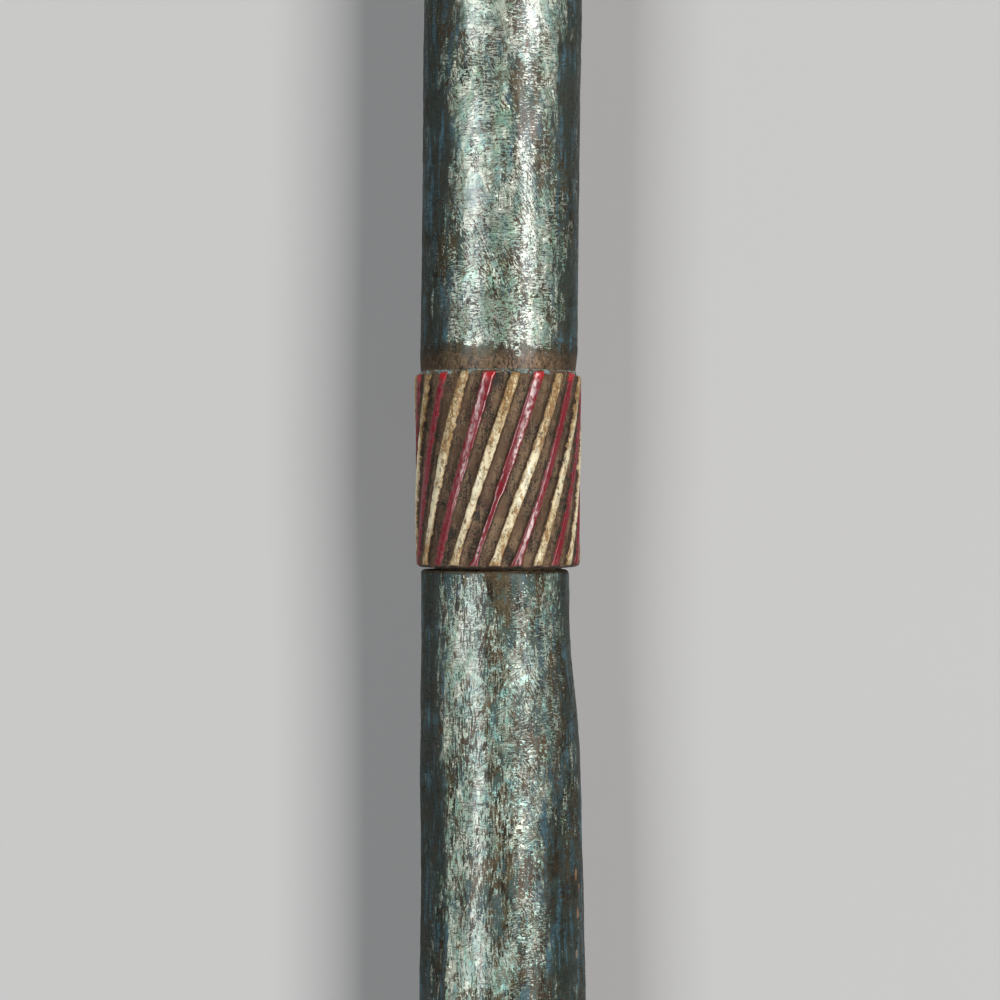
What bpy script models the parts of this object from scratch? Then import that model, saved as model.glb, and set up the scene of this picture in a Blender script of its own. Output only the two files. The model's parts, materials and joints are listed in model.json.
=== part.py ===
"""Linguist staff in three carved and painted wooden pieces, lying on its side.

Two shaft sections and a finial plug into each other: the upper section and the
finial each begin with a thick collar, carved with leaning ridges, whose socket
takes the tenon of the piece below. Every piece is modelled along one straight
staff line, and an empty lays that line down so that the staff rests on two
small flat spots, one under the finial's knop and one under the foot.

Units are metres. +Y points from the foot to the finial and +Z points up. Along
the staff, a place is a distance from the foot's end.
"""

import math

import bmesh
import bpy

MM = 0.001

# The three pieces along the staff, and the plugs that join them.
LOWER_LENGTH = 740 * MM
UPPER_LENGTH = 704.5 * MM
JOINT_GAP = 0.6 * MM
TENON_RADIUS = 14.5 * MM
TENON_LENGTH = 30 * MM
TENON_ROOT = 12 * MM
SHOULDER_RADIUS = 16.2 * MM
SOCKET_CLEARANCE = 0.35 * MM
SIDES = 32

# The carved collar, shared by the upper section and the finial.
COLLAR_HEIGHT = 44.5 * MM
COLLAR_RADIUS_LOW = 18.85 * MM
COLLAR_RADIUS_HIGH = 19.15 * MM
GROOVE_RADIUS = 17.8 * MM
RIM_HEIGHT = 2.4 * MM
RIM_DROP = 0.95 * MM
RIM_SHARES = (0.0, 0.3, 1.0)
COLLAR_STEPS = 6
RIDGES = 22
RIDGE_PITCH = math.tau / RIDGES
CROWN_SHARE = 0.46  # width of a ridge's crown as a share of the pitch
BURIED = 6 * MM  # how far a shaft or a neck starts inside its collar
BURIED_RADIUS = 14 * MM

# Lower section: (place, radius) and (place, sideways offset) of its hand-carved line.
FOOT_ROUNDING = ((0.0 * MM, 14.8 * MM), (0.6 * MM, 15.9 * MM), (1.6 * MM, 16.6 * MM))
LOWER_RADIUS = (
    (3 * MM, 17.0 * MM),
    (12 * MM, 17.2 * MM),
    (60 * MM, 16.2 * MM),
    (360 * MM, 17.6 * MM),
    (640 * MM, 19.0 * MM),
    (674 * MM, 18.5 * MM),
    (697 * MM, 18.3 * MM),
    (711 * MM, 17.7 * MM),
    (724 * MM, 17.1 * MM),
    (739 * MM, 16.95 * MM),
)
LOWER_OFFSET = (
    (12 * MM, 0.0 * MM),
    (200 * MM, 0.9 * MM),
    (480 * MM, 1.7 * MM),
    (640 * MM, 1.0 * MM),
    (697 * MM, 0.45 * MM),
    (724 * MM, -0.6 * MM),
    (739 * MM, -0.7 * MM),
)
LOWER_STEPS = 24

# Upper shaft: radius by height above its collar, and how far it bows sideways.
UPPER_RADIUS = (
    (0 * MM, 17.7 * MM),
    (4 * MM, 17.95 * MM),
    (330 * MM, 18.0 * MM),
    (560 * MM, 17.5 * MM),
    (659 * MM, 17.0 * MM),
)
UPPER_BOW = 3.0 * MM
UPPER_STEPS = 12

# Finial, by height above its collar.
NECK_RADIUS = 14.4 * MM
NECK_HEIGHT = 10 * MM
BEAD_HEIGHT = 18.5 * MM
BEAD_RADIUS = 18.3 * MM
BEAD_HALF = 2.7 * MM
CUP_BASE = 23 * MM
LIP_HEIGHT = 39 * MM
LIP_RADIUS = 23.6 * MM
LIP_HALF = 2.6 * MM
KNOP_HEIGHT = 60 * MM
KNOP_RADIUS = 26 * MM
KNOP_BELOW = 26 * MM
KNOP_ABOVE = 44 * MM

# How deep the ground cuts each flat spot.
KNOP_FLAT_DEPTH = 0.5 * MM
FOOT_FLAT_DEPTH = 0.4 * MM
FOOT_REST = 12 * MM
FOOT_REST_RADIUS = 17.2 * MM

UPPER_START = LOWER_LENGTH + JOINT_GAP
FINIAL_START = UPPER_START + UPPER_LENGTH + JOINT_GAP
KNOP_REST = FINIAL_START + COLLAR_HEIGHT + KNOP_HEIGHT
STAFF_LENGTH = KNOP_REST + KNOP_ABOVE
FOOT_AXIS_HEIGHT = FOOT_REST_RADIUS - FOOT_FLAT_DEPTH
KNOP_AXIS_HEIGHT = KNOP_RADIUS - KNOP_FLAT_DEPTH
REST_TILT = math.asin((KNOP_AXIS_HEIGHT - FOOT_AXIS_HEIGHT) / (KNOP_REST - FOOT_REST))

TURQUOISE = (0.10, 0.19, 0.18)
CREAM = (0.62, 0.50, 0.27)
RED = (0.35, 0.02, 0.03)
PAINT_ROUGHNESS = 0.45
SHARP_EDGE = math.radians(35)


def clear_scene():
    """Remove whatever the startup scene holds."""
    for obj in list(bpy.data.objects):
        bpy.data.objects.remove(obj)


def new_collection(name):
    """A collection in the scene."""
    collection = bpy.data.collections.new(name)
    bpy.context.scene.collection.children.link(collection)
    return collection


def paint(name, colour):
    """A painted wooden surface."""
    material = bpy.data.materials.new(name)
    material.use_nodes = True
    shader = material.node_tree.nodes["Principled BSDF"]
    shader.inputs["Base Color"].default_value = (*colour, 1.0)
    shader.inputs["Roughness"].default_value = PAINT_ROUGHNESS
    shader.inputs["Metallic"].default_value = 0.0
    return material


def smooth_value(knots, place):
    """Value at a place on the smooth curve (Catmull-Rom) through (place, value) knots."""
    if place <= knots[0][0]:
        return knots[0][1]
    if place >= knots[-1][0]:
        return knots[-1][1]
    i = next(k for k in range(len(knots) - 1) if place <= knots[k + 1][0])
    (x0, y0), (x1, y1) = knots[i], knots[i + 1]
    before = knots[max(i - 1, 0)]
    after = knots[min(i + 2, len(knots) - 1)]
    width = x1 - x0
    slope0 = (y1 - before[1]) / (x1 - before[0]) * width
    slope1 = (after[1] - y0) / (after[0] - x0) * width
    t = (place - x0) / width
    blend = t * t * (3 - 2 * t)
    bend = t * (1 - t)
    return y0 + blend * (y1 - y0) + bend * ((1 - t) * slope0 - t * slope1)


def arc(centre, size, start, stop, steps):
    """Points (radius, height) of an elliptic arc, by angles in degrees from its outermost point."""
    radius, height = centre
    half_width, half_height = size
    points = []
    for i in range(steps + 1):
        turn = math.radians(start + (stop - start) * i / steps)
        points.append((radius + half_width * math.cos(turn), height + half_height * math.sin(turn)))
    return points


def ridge_angle(ridge, share):
    """Angle of a ridge's line round the collar, from the upward side towards +X.

    The share is the height as a part of the collar's. The carver's spacing
    drifts: the ridges crowd on one side at the bottom and spread there at the
    top, so they turn by between 41 and 53 degrees over the collar's height.
    """
    turn = ridge * RIDGE_PITCH
    bottom = math.radians(-2.5 - 4.5 * math.sin(turn + RIDGE_PITCH / 2))
    top = math.radians(45.0 + 3.3 * math.cos(2 * turn - 0.17))
    return turn + bottom + share * (top - bottom)


def ring(place, radii, angles):
    """Points of one cross-section of the staff, as a closed loop."""
    return [
        (radius * math.sin(angle), place, radius * math.cos(angle))
        for radius, angle in zip(radii, angles)
    ]


def loft(name, rings):
    """A closed mesh through cross-sections of equal count, with flat ends."""
    shape = bmesh.new()
    loops = [[shape.verts.new(point) for point in points] for points in rings]
    for low, high in zip(loops, loops[1:]):
        for i in range(len(low)):
            j = (i + 1) % len(low)
            shape.faces.new((low[i], low[j], high[j], high[i]))
    shape.faces.new(loops[0])
    shape.faces.new(loops[-1])
    bmesh.ops.recalc_face_normals(shape, faces=shape.faces)
    mesh = bpy.data.meshes.new(name)
    shape.to_mesh(mesh)
    shape.free()
    return mesh


def new_piece(name, mesh, colours):
    """One physical piece of the staff, with its paints in order."""
    for label, colour in colours:
        mesh.materials.append(paint(f"{name}_{label}", colour))
    mesh.shade_smooth()
    mesh.set_sharp_from_angle(angle=SHARP_EDGE)
    obj = bpy.data.objects.new(name, mesh)
    PIECES.objects.link(obj)
    return obj


def as_helper(obj, name):
    """Keep a shape that only joins or cuts out of the render, in its own collection."""
    obj.name = name
    obj.hide_render = True
    obj.display_type = "WIRE"
    for owner in list(obj.users_collection):
        owner.objects.unlink(obj)
    HELPERS.objects.link(obj)
    return obj


def combine(obj, helper, operation):
    """Join a helper to a piece, or cut it away."""
    modifier = obj.modifiers.new(helper.name, "BOOLEAN")
    modifier.operation = operation
    modifier.object = helper


def round_bar(name, points):
    """Mesh of a bar with a round section, through (place, radius, sideways offset) points."""
    curve = bpy.data.curves.new(name, "CURVE")
    curve.dimensions = "3D"
    curve.bevel_depth = 1.0
    curve.bevel_resolution = SIDES // 2 - 2
    curve.use_fill_caps = True
    spline = curve.splines.new("POLY")
    spline.points.add(len(points) - 1)
    for point, (place, radius, offset) in zip(spline.points, points):
        point.co = (offset, place, 0.0, 1.0)
        point.radius = radius
    line = bpy.data.objects.new(name, curve)
    HELPERS.objects.link(line)
    graph = bpy.context.evaluated_depsgraph_get()
    mesh = bpy.data.meshes.new_from_object(line.evaluated_get(graph))
    bpy.data.objects.remove(line)

    shape = bmesh.new()
    shape.from_mesh(mesh)
    bmesh.ops.remove_doubles(shape, verts=shape.verts, dist=0.01 * MM)
    shape.to_mesh(mesh)
    shape.free()
    mesh.materials.clear()
    return mesh


def collar_radii(height):
    """Radius of each column of the collar: both edges of a crown, then the groove's floor."""
    crown = COLLAR_RADIUS_LOW + height / COLLAR_HEIGHT * (COLLAR_RADIUS_HIGH - COLLAR_RADIUS_LOW)
    to_rim = min(min(height, COLLAR_HEIGHT - height) / RIM_HEIGHT, 1.0)
    crown -= RIM_DROP * (1 - math.sqrt(1 - (1 - to_rim) ** 2))
    return [crown, crown, GROOVE_RADIUS] * RIDGES


def collar_mesh(name, start):
    """The ridged collar and its blind socket, from the socket's end round to the top face."""
    columns = [
        ridge + side
        for ridge in range(RIDGES)
        for side in (-CROWN_SHARE / 2, CROWN_SHARE / 2, 0.5)
    ]
    low_angles = [ridge_angle(u, 0.0) for u in columns]
    socket = [TENON_RADIUS + SOCKET_CLEARANCE] * len(columns)
    depth = TENON_LENGTH - JOINT_GAP + SOCKET_CLEARANCE
    rings = [ring(start + depth, socket, low_angles), ring(start, socket, low_angles)]

    body = COLLAR_HEIGHT - 2 * RIM_HEIGHT
    heights = [RIM_HEIGHT * share for share in RIM_SHARES]
    heights += [RIM_HEIGHT + body * (i + 1) / COLLAR_STEPS for i in range(COLLAR_STEPS)]
    heights += [COLLAR_HEIGHT - RIM_HEIGHT * share for share in reversed(RIM_SHARES[:-1])]
    for height in heights:
        angles = [ridge_angle(u, height / COLLAR_HEIGHT) for u in columns]
        rings.append(ring(start + height, collar_radii(height), angles))
    return loft(name, rings)


def collar_piece(name, start):
    """A piece that begins with a collar, its ridges cream and red turn about."""
    mesh = collar_mesh(name, start)
    obj = new_piece(name, mesh, (("turquoise", TURQUOISE), ("cream", CREAM), ("red", RED)))
    columns = 3 * RIDGES
    socket_faces = 2 * columns
    end_faces = 2
    for crown in range(socket_faces, len(mesh.polygons) - end_faces, 3):
        ridge = crown % columns // 3
        mesh.polygons[crown].material_index = 1 + ridge % 2
    return obj


def add_tenon(obj, end):
    """Join the round plug that fits the socket of the next piece."""
    bpy.ops.mesh.primitive_cylinder_add(
        vertices=SIDES,
        radius=TENON_RADIUS,
        depth=TENON_LENGTH + TENON_ROOT,
        location=(0.0, end + (TENON_LENGTH - TENON_ROOT) / 2, 0.0),
        rotation=(math.pi / 2, 0.0, 0.0),
    )
    combine(obj, as_helper(bpy.context.object, f"{obj.name}_tenon"), "UNION")


def make_lower_section():
    """The shaft that ends in the foot, hand carved and a little crooked."""
    points = [(place, radius, 0.0) for place, radius in FOOT_ROUNDING]
    first, second, last = LOWER_RADIUS[0][0], LOWER_RADIUS[1][0], LOWER_RADIUS[-1][0]
    places = [first, (first + second) / 2]
    places += [second + (last - second) * i / LOWER_STEPS for i in range(LOWER_STEPS + 1)]
    for place in places:
        radius = smooth_value(LOWER_RADIUS, place)
        points.append((place, radius, smooth_value(LOWER_OFFSET, place)))
    points.append((LOWER_LENGTH, SHOULDER_RADIUS, LOWER_OFFSET[-1][1]))
    mesh = round_bar("lower_section", points)
    obj = new_piece("lower_section", mesh, (("turquoise", TURQUOISE),))
    add_tenon(obj, LOWER_LENGTH)
    return obj


def make_upper_section():
    """The upper shaft, carved in one with the ridged collar at its lower end."""
    obj = collar_piece("upper_section", UPPER_START)
    base = UPPER_START + COLLAR_HEIGHT
    length = UPPER_LENGTH - COLLAR_HEIGHT
    widened, shoulder = UPPER_RADIUS[1][0], UPPER_RADIUS[-1][0]
    heights = [0.0]
    heights += [widened + (shoulder - widened) * i / UPPER_STEPS for i in range(UPPER_STEPS + 1)]
    points = [(base - BURIED, BURIED_RADIUS, 0.0)]
    for height in heights:
        bow = UPPER_BOW * math.sin(math.pi * height / length)
        points.append((base + height, smooth_value(UPPER_RADIUS, height), bow))
    points.append((base + length, SHOULDER_RADIUS, 0.0))
    shaft = bpy.data.objects.new("upper_shaft", round_bar("upper_shaft", points))
    combine(obj, as_helper(shaft, "upper_shaft"), "UNION")
    add_tenon(obj, base + length)
    return obj


def finial_profile():
    """Outline (radius, height above the collar) from the buried neck to the knop's tip."""
    bead_inner = BEAD_RADIUS - BEAD_HALF
    lip_inner = LIP_RADIUS - LIP_HALF
    neck = [
        (0.0, -BURIED),
        (BURIED_RADIUS, -BURIED),
        (GROOVE_RADIUS - 0.1 * MM, 0.0),
        (NECK_RADIUS + 1.2 * MM, NECK_HEIGHT / 2),
        (NECK_RADIUS, NECK_HEIGHT),
        (NECK_RADIUS + 0.2 * MM, BEAD_HEIGHT - BEAD_HALF),
    ]
    cup = [
        (NECK_RADIUS + 0.4 * MM, CUP_BASE),
        (NECK_RADIUS + 2.4 * MM, CUP_BASE + 5 * MM),
        (lip_inner - 2.6 * MM, LIP_HEIGHT - 6.5 * MM),
        (lip_inner, LIP_HEIGHT - LIP_HALF),
    ]
    seat = -math.degrees(math.asin((KNOP_HEIGHT - LIP_HEIGHT - LIP_HALF) / KNOP_BELOW))
    bead = arc((bead_inner, BEAD_HEIGHT), (BEAD_HALF, BEAD_HALF), -90, 90, 6)
    lip = arc((lip_inner, LIP_HEIGHT), (LIP_HALF, LIP_HALF), -60, 90, 5)
    below = arc((0.0, KNOP_HEIGHT), (KNOP_RADIUS, KNOP_BELOW), seat, 0, 5)
    above = arc((0.0, KNOP_HEIGHT), (KNOP_RADIUS, KNOP_ABOVE), 0, 90, 9)
    tip = (0.0, KNOP_HEIGHT + KNOP_ABOVE)
    return [*neck, *bead, *cup, *lip, *below, *above[1:-1], tip]


def make_finial():
    """A plain egg-shaped knop in a cup, above a collar like the one below."""
    obj = collar_piece("finial", FINIAL_START)
    base = FINIAL_START + COLLAR_HEIGHT
    profile = [(radius, base + height, 0.0) for radius, height in finial_profile()]
    edges = [(i, i + 1) for i in range(len(profile) - 1)]
    mesh = bpy.data.meshes.new("finial_turning")
    mesh.from_pydata(profile, edges, [])
    turning = bpy.data.objects.new("finial_turning", mesh)
    screw = turning.modifiers.new("turn", "SCREW")
    screw.axis = "Y"
    screw.steps = SIDES
    screw.render_steps = SIDES
    screw.use_merge_vertices = True
    screw.merge_threshold = 0.01 * MM
    combine(obj, as_helper(turning, "finial_turning"), "UNION")
    return obj


def lay_down(pieces, resting):
    """Tilt the staff line onto its two rests, and cut both flat at the ground."""
    line = bpy.data.objects.new("staff_line", None)
    PIECES.objects.link(line)
    height = FOOT_AXIS_HEIGHT - FOOT_REST * math.sin(REST_TILT)
    line.location = (0.0, -STAFF_LENGTH * math.cos(REST_TILT) / 2, height)
    line.rotation_euler = (REST_TILT, 0.0, 0.0)
    for obj in (*pieces, *HELPERS.objects):
        obj.parent = line

    depth = 20 * MM
    bpy.ops.mesh.primitive_cube_add(location=(0.0, 0.0, -depth / 2))
    ground = as_helper(bpy.context.object, "ground")
    ground.scale = (0.1, 0.55 * STAFF_LENGTH, depth / 2)
    for obj in resting:
        combine(obj, ground, "DIFFERENCE")


clear_scene()
PIECES = new_collection("linguist_staff")
HELPERS = new_collection("helpers")
lower_section = make_lower_section()
upper_section = make_upper_section()
finial = make_finial()
lay_down((lower_section, upper_section, finial), (lower_section, finial))
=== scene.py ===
"""Looks of a carved and painted linguist staff, lying on a pale studio floor.

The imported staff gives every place. Here its three wooden pieces get their
hand-carved skins and worn paint, and the floor, the lamps and the camera are
set around them.

Each piece is worked out in staff coordinates: sideways (+X), along (from the
foot's end towards the knop) and upward. An angle round the staff starts at the
upward side and turns towards +X. Lengths are in metres and angles in radians,
and patterns of paint are laid out in millimetres.
"""

from __future__ import annotations

import functools
import json
import logging
import math
from collections.abc import Callable, Sequence
from dataclasses import dataclass, field
from enum import Enum

import bpy
import numpy as np
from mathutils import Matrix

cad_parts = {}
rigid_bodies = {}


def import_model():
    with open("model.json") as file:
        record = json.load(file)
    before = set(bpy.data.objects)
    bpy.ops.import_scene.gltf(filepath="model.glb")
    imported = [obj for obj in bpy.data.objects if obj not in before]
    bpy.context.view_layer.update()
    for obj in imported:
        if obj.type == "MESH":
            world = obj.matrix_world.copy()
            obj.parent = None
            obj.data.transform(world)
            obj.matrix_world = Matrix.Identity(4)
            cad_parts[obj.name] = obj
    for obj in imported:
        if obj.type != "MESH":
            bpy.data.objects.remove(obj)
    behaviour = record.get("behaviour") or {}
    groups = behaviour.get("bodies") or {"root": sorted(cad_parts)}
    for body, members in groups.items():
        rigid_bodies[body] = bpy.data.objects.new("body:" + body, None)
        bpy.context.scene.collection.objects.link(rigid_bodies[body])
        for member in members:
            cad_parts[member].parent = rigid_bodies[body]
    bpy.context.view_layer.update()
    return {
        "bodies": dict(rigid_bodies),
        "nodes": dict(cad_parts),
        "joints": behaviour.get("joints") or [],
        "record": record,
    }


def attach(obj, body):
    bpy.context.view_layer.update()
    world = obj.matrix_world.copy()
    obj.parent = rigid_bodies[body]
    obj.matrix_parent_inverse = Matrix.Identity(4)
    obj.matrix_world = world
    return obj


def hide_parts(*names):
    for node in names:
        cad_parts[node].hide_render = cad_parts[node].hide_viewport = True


MM = 0.001
BODY = "root"
BAKE_MAP = "OFBake"
STRIP_MARGIN = 0.012
SECTION_GAP = 0.6 * MM

LOG = logging.getLogger("linguist_staff")

Array = np.ndarray
Number = Array | float
Pair = tuple[float, float]
Span = tuple[Number, Number]
Colour = tuple[float, float, float, float]


# ---------------------------------------------------------------- shapes in numbers


def smooth_step(value: Number, low: Number, high: Number) -> Array:
    """Rise from 0 at low to 1 at high, level at both ends: 3t² - 2t³ of the clipped share t of the way."""
    share = np.clip((np.asarray(value, float) - low) / (high - low), 0.0, 1.0)
    return share * share * (3 - 2 * share)


def quarter_round(share: Number) -> Array:
    """Height of a quarter circle, from 0 at share 0 to 1 at share 1: √(1 - (1 - share)²)."""
    return np.sqrt(1 - (1 - np.clip(share, 0.0, 1.0)) ** 2)


def edge_loss(to_edge: Array, size: float) -> Array:
    """Share of the wood lost at a rounded edge: 1 at the edge, and by a quarter circle to 0 at its size."""
    return 1 - quarter_round(to_edge / size)


def turn_from(middle: float, angle: Array) -> Array:
    """Angle from a middle one, between half a turn back and half a turn on."""
    return (angle - middle + math.pi) % math.tau - math.pi


@dataclass(frozen=True)
class SmoothCurve:
    """A smooth curve through (place, value) points: cubic pieces, each with its neighbours' slopes."""

    points: tuple[Pair, ...]

    def at(self, place: Number) -> Array:
        """Read the curve.

        Args:
            place: Where to read it; beyond the ends it stays level.

        Returns:
            The value at each place.
        """
        x, y = np.array(self.points).T
        place = np.clip(place, x[0], x[-1])
        i = np.clip(np.searchsorted(x, place, side="left") - 1, 0, len(x) - 2)
        before, after = np.maximum(i - 1, 0), np.minimum(i + 2, len(x) - 1)
        width = x[i + 1] - x[i]
        slope0 = (y[i + 1] - y[before]) / (x[i + 1] - x[before]) * width
        slope1 = (y[after] - y[i]) / (x[after] - x[i]) * width
        t = (place - x[i]) / width
        blend, bend = t * t * (3 - 2 * t), t * (1 - t)
        return y[i] + blend * (y[i + 1] - y[i]) + bend * ((1 - t) * slope0 - t * slope1)


@dataclass(frozen=True)
class Waves:
    """Smooth unevenness round and along a piece: a sum of cosine waves that closes round the staff.

    Each wave has a whole number of crests round the staff and a length along
    it, both drawn from a seeded generator, and the sum has about unit spread.
    """

    seed: int
    crests: tuple[int, int]
    length: Pair
    count: int = 36

    def at(self, angle: Array, along: Number) -> Array:
        """Read the sum of waves.

        Args:
            angle: Angle round the staff.
            along: Place along the staff.

        Returns:
            The unevenness, mostly between -2 and 2.
        """
        draw = np.random.default_rng(self.seed)
        total = np.zeros(np.broadcast_shapes(np.shape(angle), np.shape(along)))
        for _ in range(self.count):
            crests = draw.integers(self.crests[0], self.crests[1] + 1)
            length = draw.uniform(*self.length) * draw.choice((-1, 1))
            phase = draw.uniform(0, math.tau)
            total += np.cos(crests * angle + math.tau * along / length + phase)
        return total * math.sqrt(2 / self.count)


def graded(start: float, stop: float, focus: float, steps: Pair, reach: Pair) -> Array:
    """Places from start to stop, close together near a focus and further apart away from it.

    Args:
        start: First place.
        stop: Last place.
        focus: Where the places are closest.
        steps: The finest and the coarsest step.
        reach: Distances from the focus where the steps begin to grow and where they stop growing.

    Returns:
        The places, spaced by the inverse of the wanted step, added up along the way.
    """
    fine = np.linspace(start, stop, 4001)
    step = steps[0] + (steps[1] - steps[0]) * smooth_step(np.abs(fine - focus), *reach)
    count = np.concatenate([[0], np.cumsum(np.diff(fine) / step[1:])])
    return np.interp(np.linspace(0, count[-1], math.ceil(count[-1]) + 1), count, fine)


def put(name: str, data: bpy.types.ID) -> bpy.types.Object:
    """Put a mesh, a lamp or a camera into the scene.

    Args:
        name: The object's name.
        data: What it shows.

    Returns:
        The object.
    """
    obj = bpy.data.objects.new(name, data)
    bpy.context.scene.collection.objects.link(obj)
    return obj


# ---------------------------------------------------------------- the staff's line and skins


@dataclass(frozen=True)
class StaffLine:
    """The straight line along which the staff is made, as it lies."""

    foot: Array
    along: Array

    @classmethod
    def from_frame(cls, frame: dict) -> StaffLine:
        """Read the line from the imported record's mount at the foot's end.

        Args:
            frame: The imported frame.

        Returns:
            The line, which runs against the mount's axis.
        """
        mount = next(m for m in frame["record"]["mounts"] if m["name"] == "foot_end")
        along = -np.array(mount["axis"], float)
        return cls(np.array(mount["pos_m"], float), along / np.linalg.norm(along))

    @property
    def axes(self) -> Array:
        """Rows: the directions sideways, along and upward."""
        sideways = np.array([1.0, 0.0, 0.0])
        return np.stack([sideways, self.along, np.cross(sideways, self.along)])

    def to_world(self, points: Array) -> Array:
        """Turn staff coordinates into the frame's.

        Args:
            points: Staff coordinates, in the last axis.

        Returns:
            The same points in the frame, with anything below the floor lifted flat onto it.
        """
        world = self.foot + points @ self.axes
        world[..., 2] = np.maximum(world[..., 2], 0.0)
        return world

    def span(self, node: bpy.types.Object) -> Pair:
        """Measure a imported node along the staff.

        Args:
            node: The node.

        Returns:
            Its first and its last place.
        """
        flat = np.empty(3 * len(node.data.vertices), np.float32)
        node.data.vertices.foreach_get("co", flat)
        places = (flat.reshape(-1, 3) - self.foot) @ self.along
        return float(places.min()), float(places.max())


class Finish(Enum):
    """Which finish a stretch of a piece wears."""

    SHAFT = 0
    RIDGES = 1
    BARE = 2


# What the paint reads from a mesh: a ridge's section and colour, wood rubbed bare, fresh dents, painted
# shade on the sides, the share of the collar's height, strokes that run lengthwise, and dull paint, partly
# grime and partly painted shade.
MARKS = ("stripe", "bare", "nick", "side", "rise", "grain", "dull")


@dataclass
class Band:
    """A stretch of a piece's skin: rings of points that follow one another along it.

    The points are (rings, columns, 3) in staff coordinates. The marks are
    (rings, columns) shares that the paint reads, by name. Detail says how much
    of the baked picture a millimetre of this stretch gets.
    """

    points: Array
    finish: Finish
    marks: dict[str, Array] = field(default_factory=dict)
    detail: float = 1.0

    @classmethod
    def round(cls, along: Array, radius: Number, angles: Array, finish: Finish, sideways: Number = 0.0,
              detail: float = 1.0, **marks: Number) -> Band:
        """A stretch with round rings.

        Values with one dimension run from ring to ring, and those with two are
        (rings, columns), either of which may be 1.

        Args:
            along: Place of each ring, or of each point, along the staff.
            radius: Radius of each ring or point.
            angles: Angle of each column, or of each point.
            finish: What the stretch wears.
            sideways: Offset of each ring's centre.
            detail: Share of the baked picture.
            **marks: What the paint reads, by name.

        Returns:
            The stretch, with each point at its centre plus radius times (sin, 0, cos) of its angle.
        """
        grid = (len(along), np.shape(angles)[-1])

        def spread(values: Number) -> Array:
            """Give every point of the stretch its value."""
            values = np.asarray(values, float)
            return np.broadcast_to(values[:, None] if values.ndim == 1 else values, grid)

        turn = np.broadcast_to(angles, grid)
        radius, along, sideways = spread(radius), spread(along), spread(sideways)
        points = np.stack([sideways + radius * np.sin(turn), along, radius * np.cos(turn)], axis=-1)
        return cls(points, finish, {name: spread(mark) for name, mark in marks.items()}, detail)


@dataclass(frozen=True)
class Gap:
    """The faces between two neighbouring rings, or between an end ring and the pole that closes it.

    All are (faces, corners): the vertex numbers, each corner's share of the way
    round the staff, and 0 or 1 for the first or the second ring.
    """

    corners: Array
    shares: Array
    rings: Array

    @classmethod
    def between(cls, low: Array, high: Array) -> Gap:
        """Faces between two rings whose counts are equal, as quads, or two to one, as triangles.

        Args:
            low: Vertex numbers of the first ring.
            high: Vertex numbers of the next ring.

        Returns:
            The faces.
        """

        def pick(from_low: Array, from_high: Array) -> Array:
            """Take the values at every face's corners from those round both rings.

            Args:
                from_low: Values round the first ring, which end with the first one again.
                from_high: The same for the next ring.

            Returns:
                The values, as (faces, corners).
            """
            d, e = from_high[:-1], from_high[1:]
            if len(low) == len(high):
                faces = [(from_low[:-1], from_low[1:], e, d)]
            else:
                a, b, c = from_low[:-1:2], from_low[1::2], from_low[2::2]
                faces = [(a, b, d), (b, e, d), (b, c, e)]
            return np.concatenate([np.stack(corners, 1) for corners in faces])

        closed = [np.append(ring, ring[0]) for ring in (low, high)]
        shares = [np.linspace(0, 1, len(ring)) for ring in closed]
        rings = [np.full(len(ring), side) for side, ring in enumerate(closed)]
        return cls(pick(*closed), pick(*shares), pick(*rings))

    @classmethod
    def fan(cls, ring: Array, pole: int, is_first: bool) -> Gap:
        """Triangles between an end ring and its pole.

        Args:
            ring: Vertex numbers of the ring.
            pole: Vertex number of the pole.
            is_first: Whether the pole comes before the ring.

        Returns:
            The faces, which point outwards at either end.
        """
        share = np.linspace(0, 1, len(ring) + 1)
        corners = np.stack([ring, np.append(ring[1:], ring[0]), np.full(len(ring), pole)], 1)
        shares = np.stack([share[:-1], share[1:], (share[:-1] + share[1:]) / 2], 1)
        if is_first:
            return cls(corners[:, ::-1], shares[:, ::-1], np.broadcast_to([0, 1, 1], corners.shape))
        return cls(corners, shares, np.broadcast_to([0, 0, 1], corners.shape))


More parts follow.
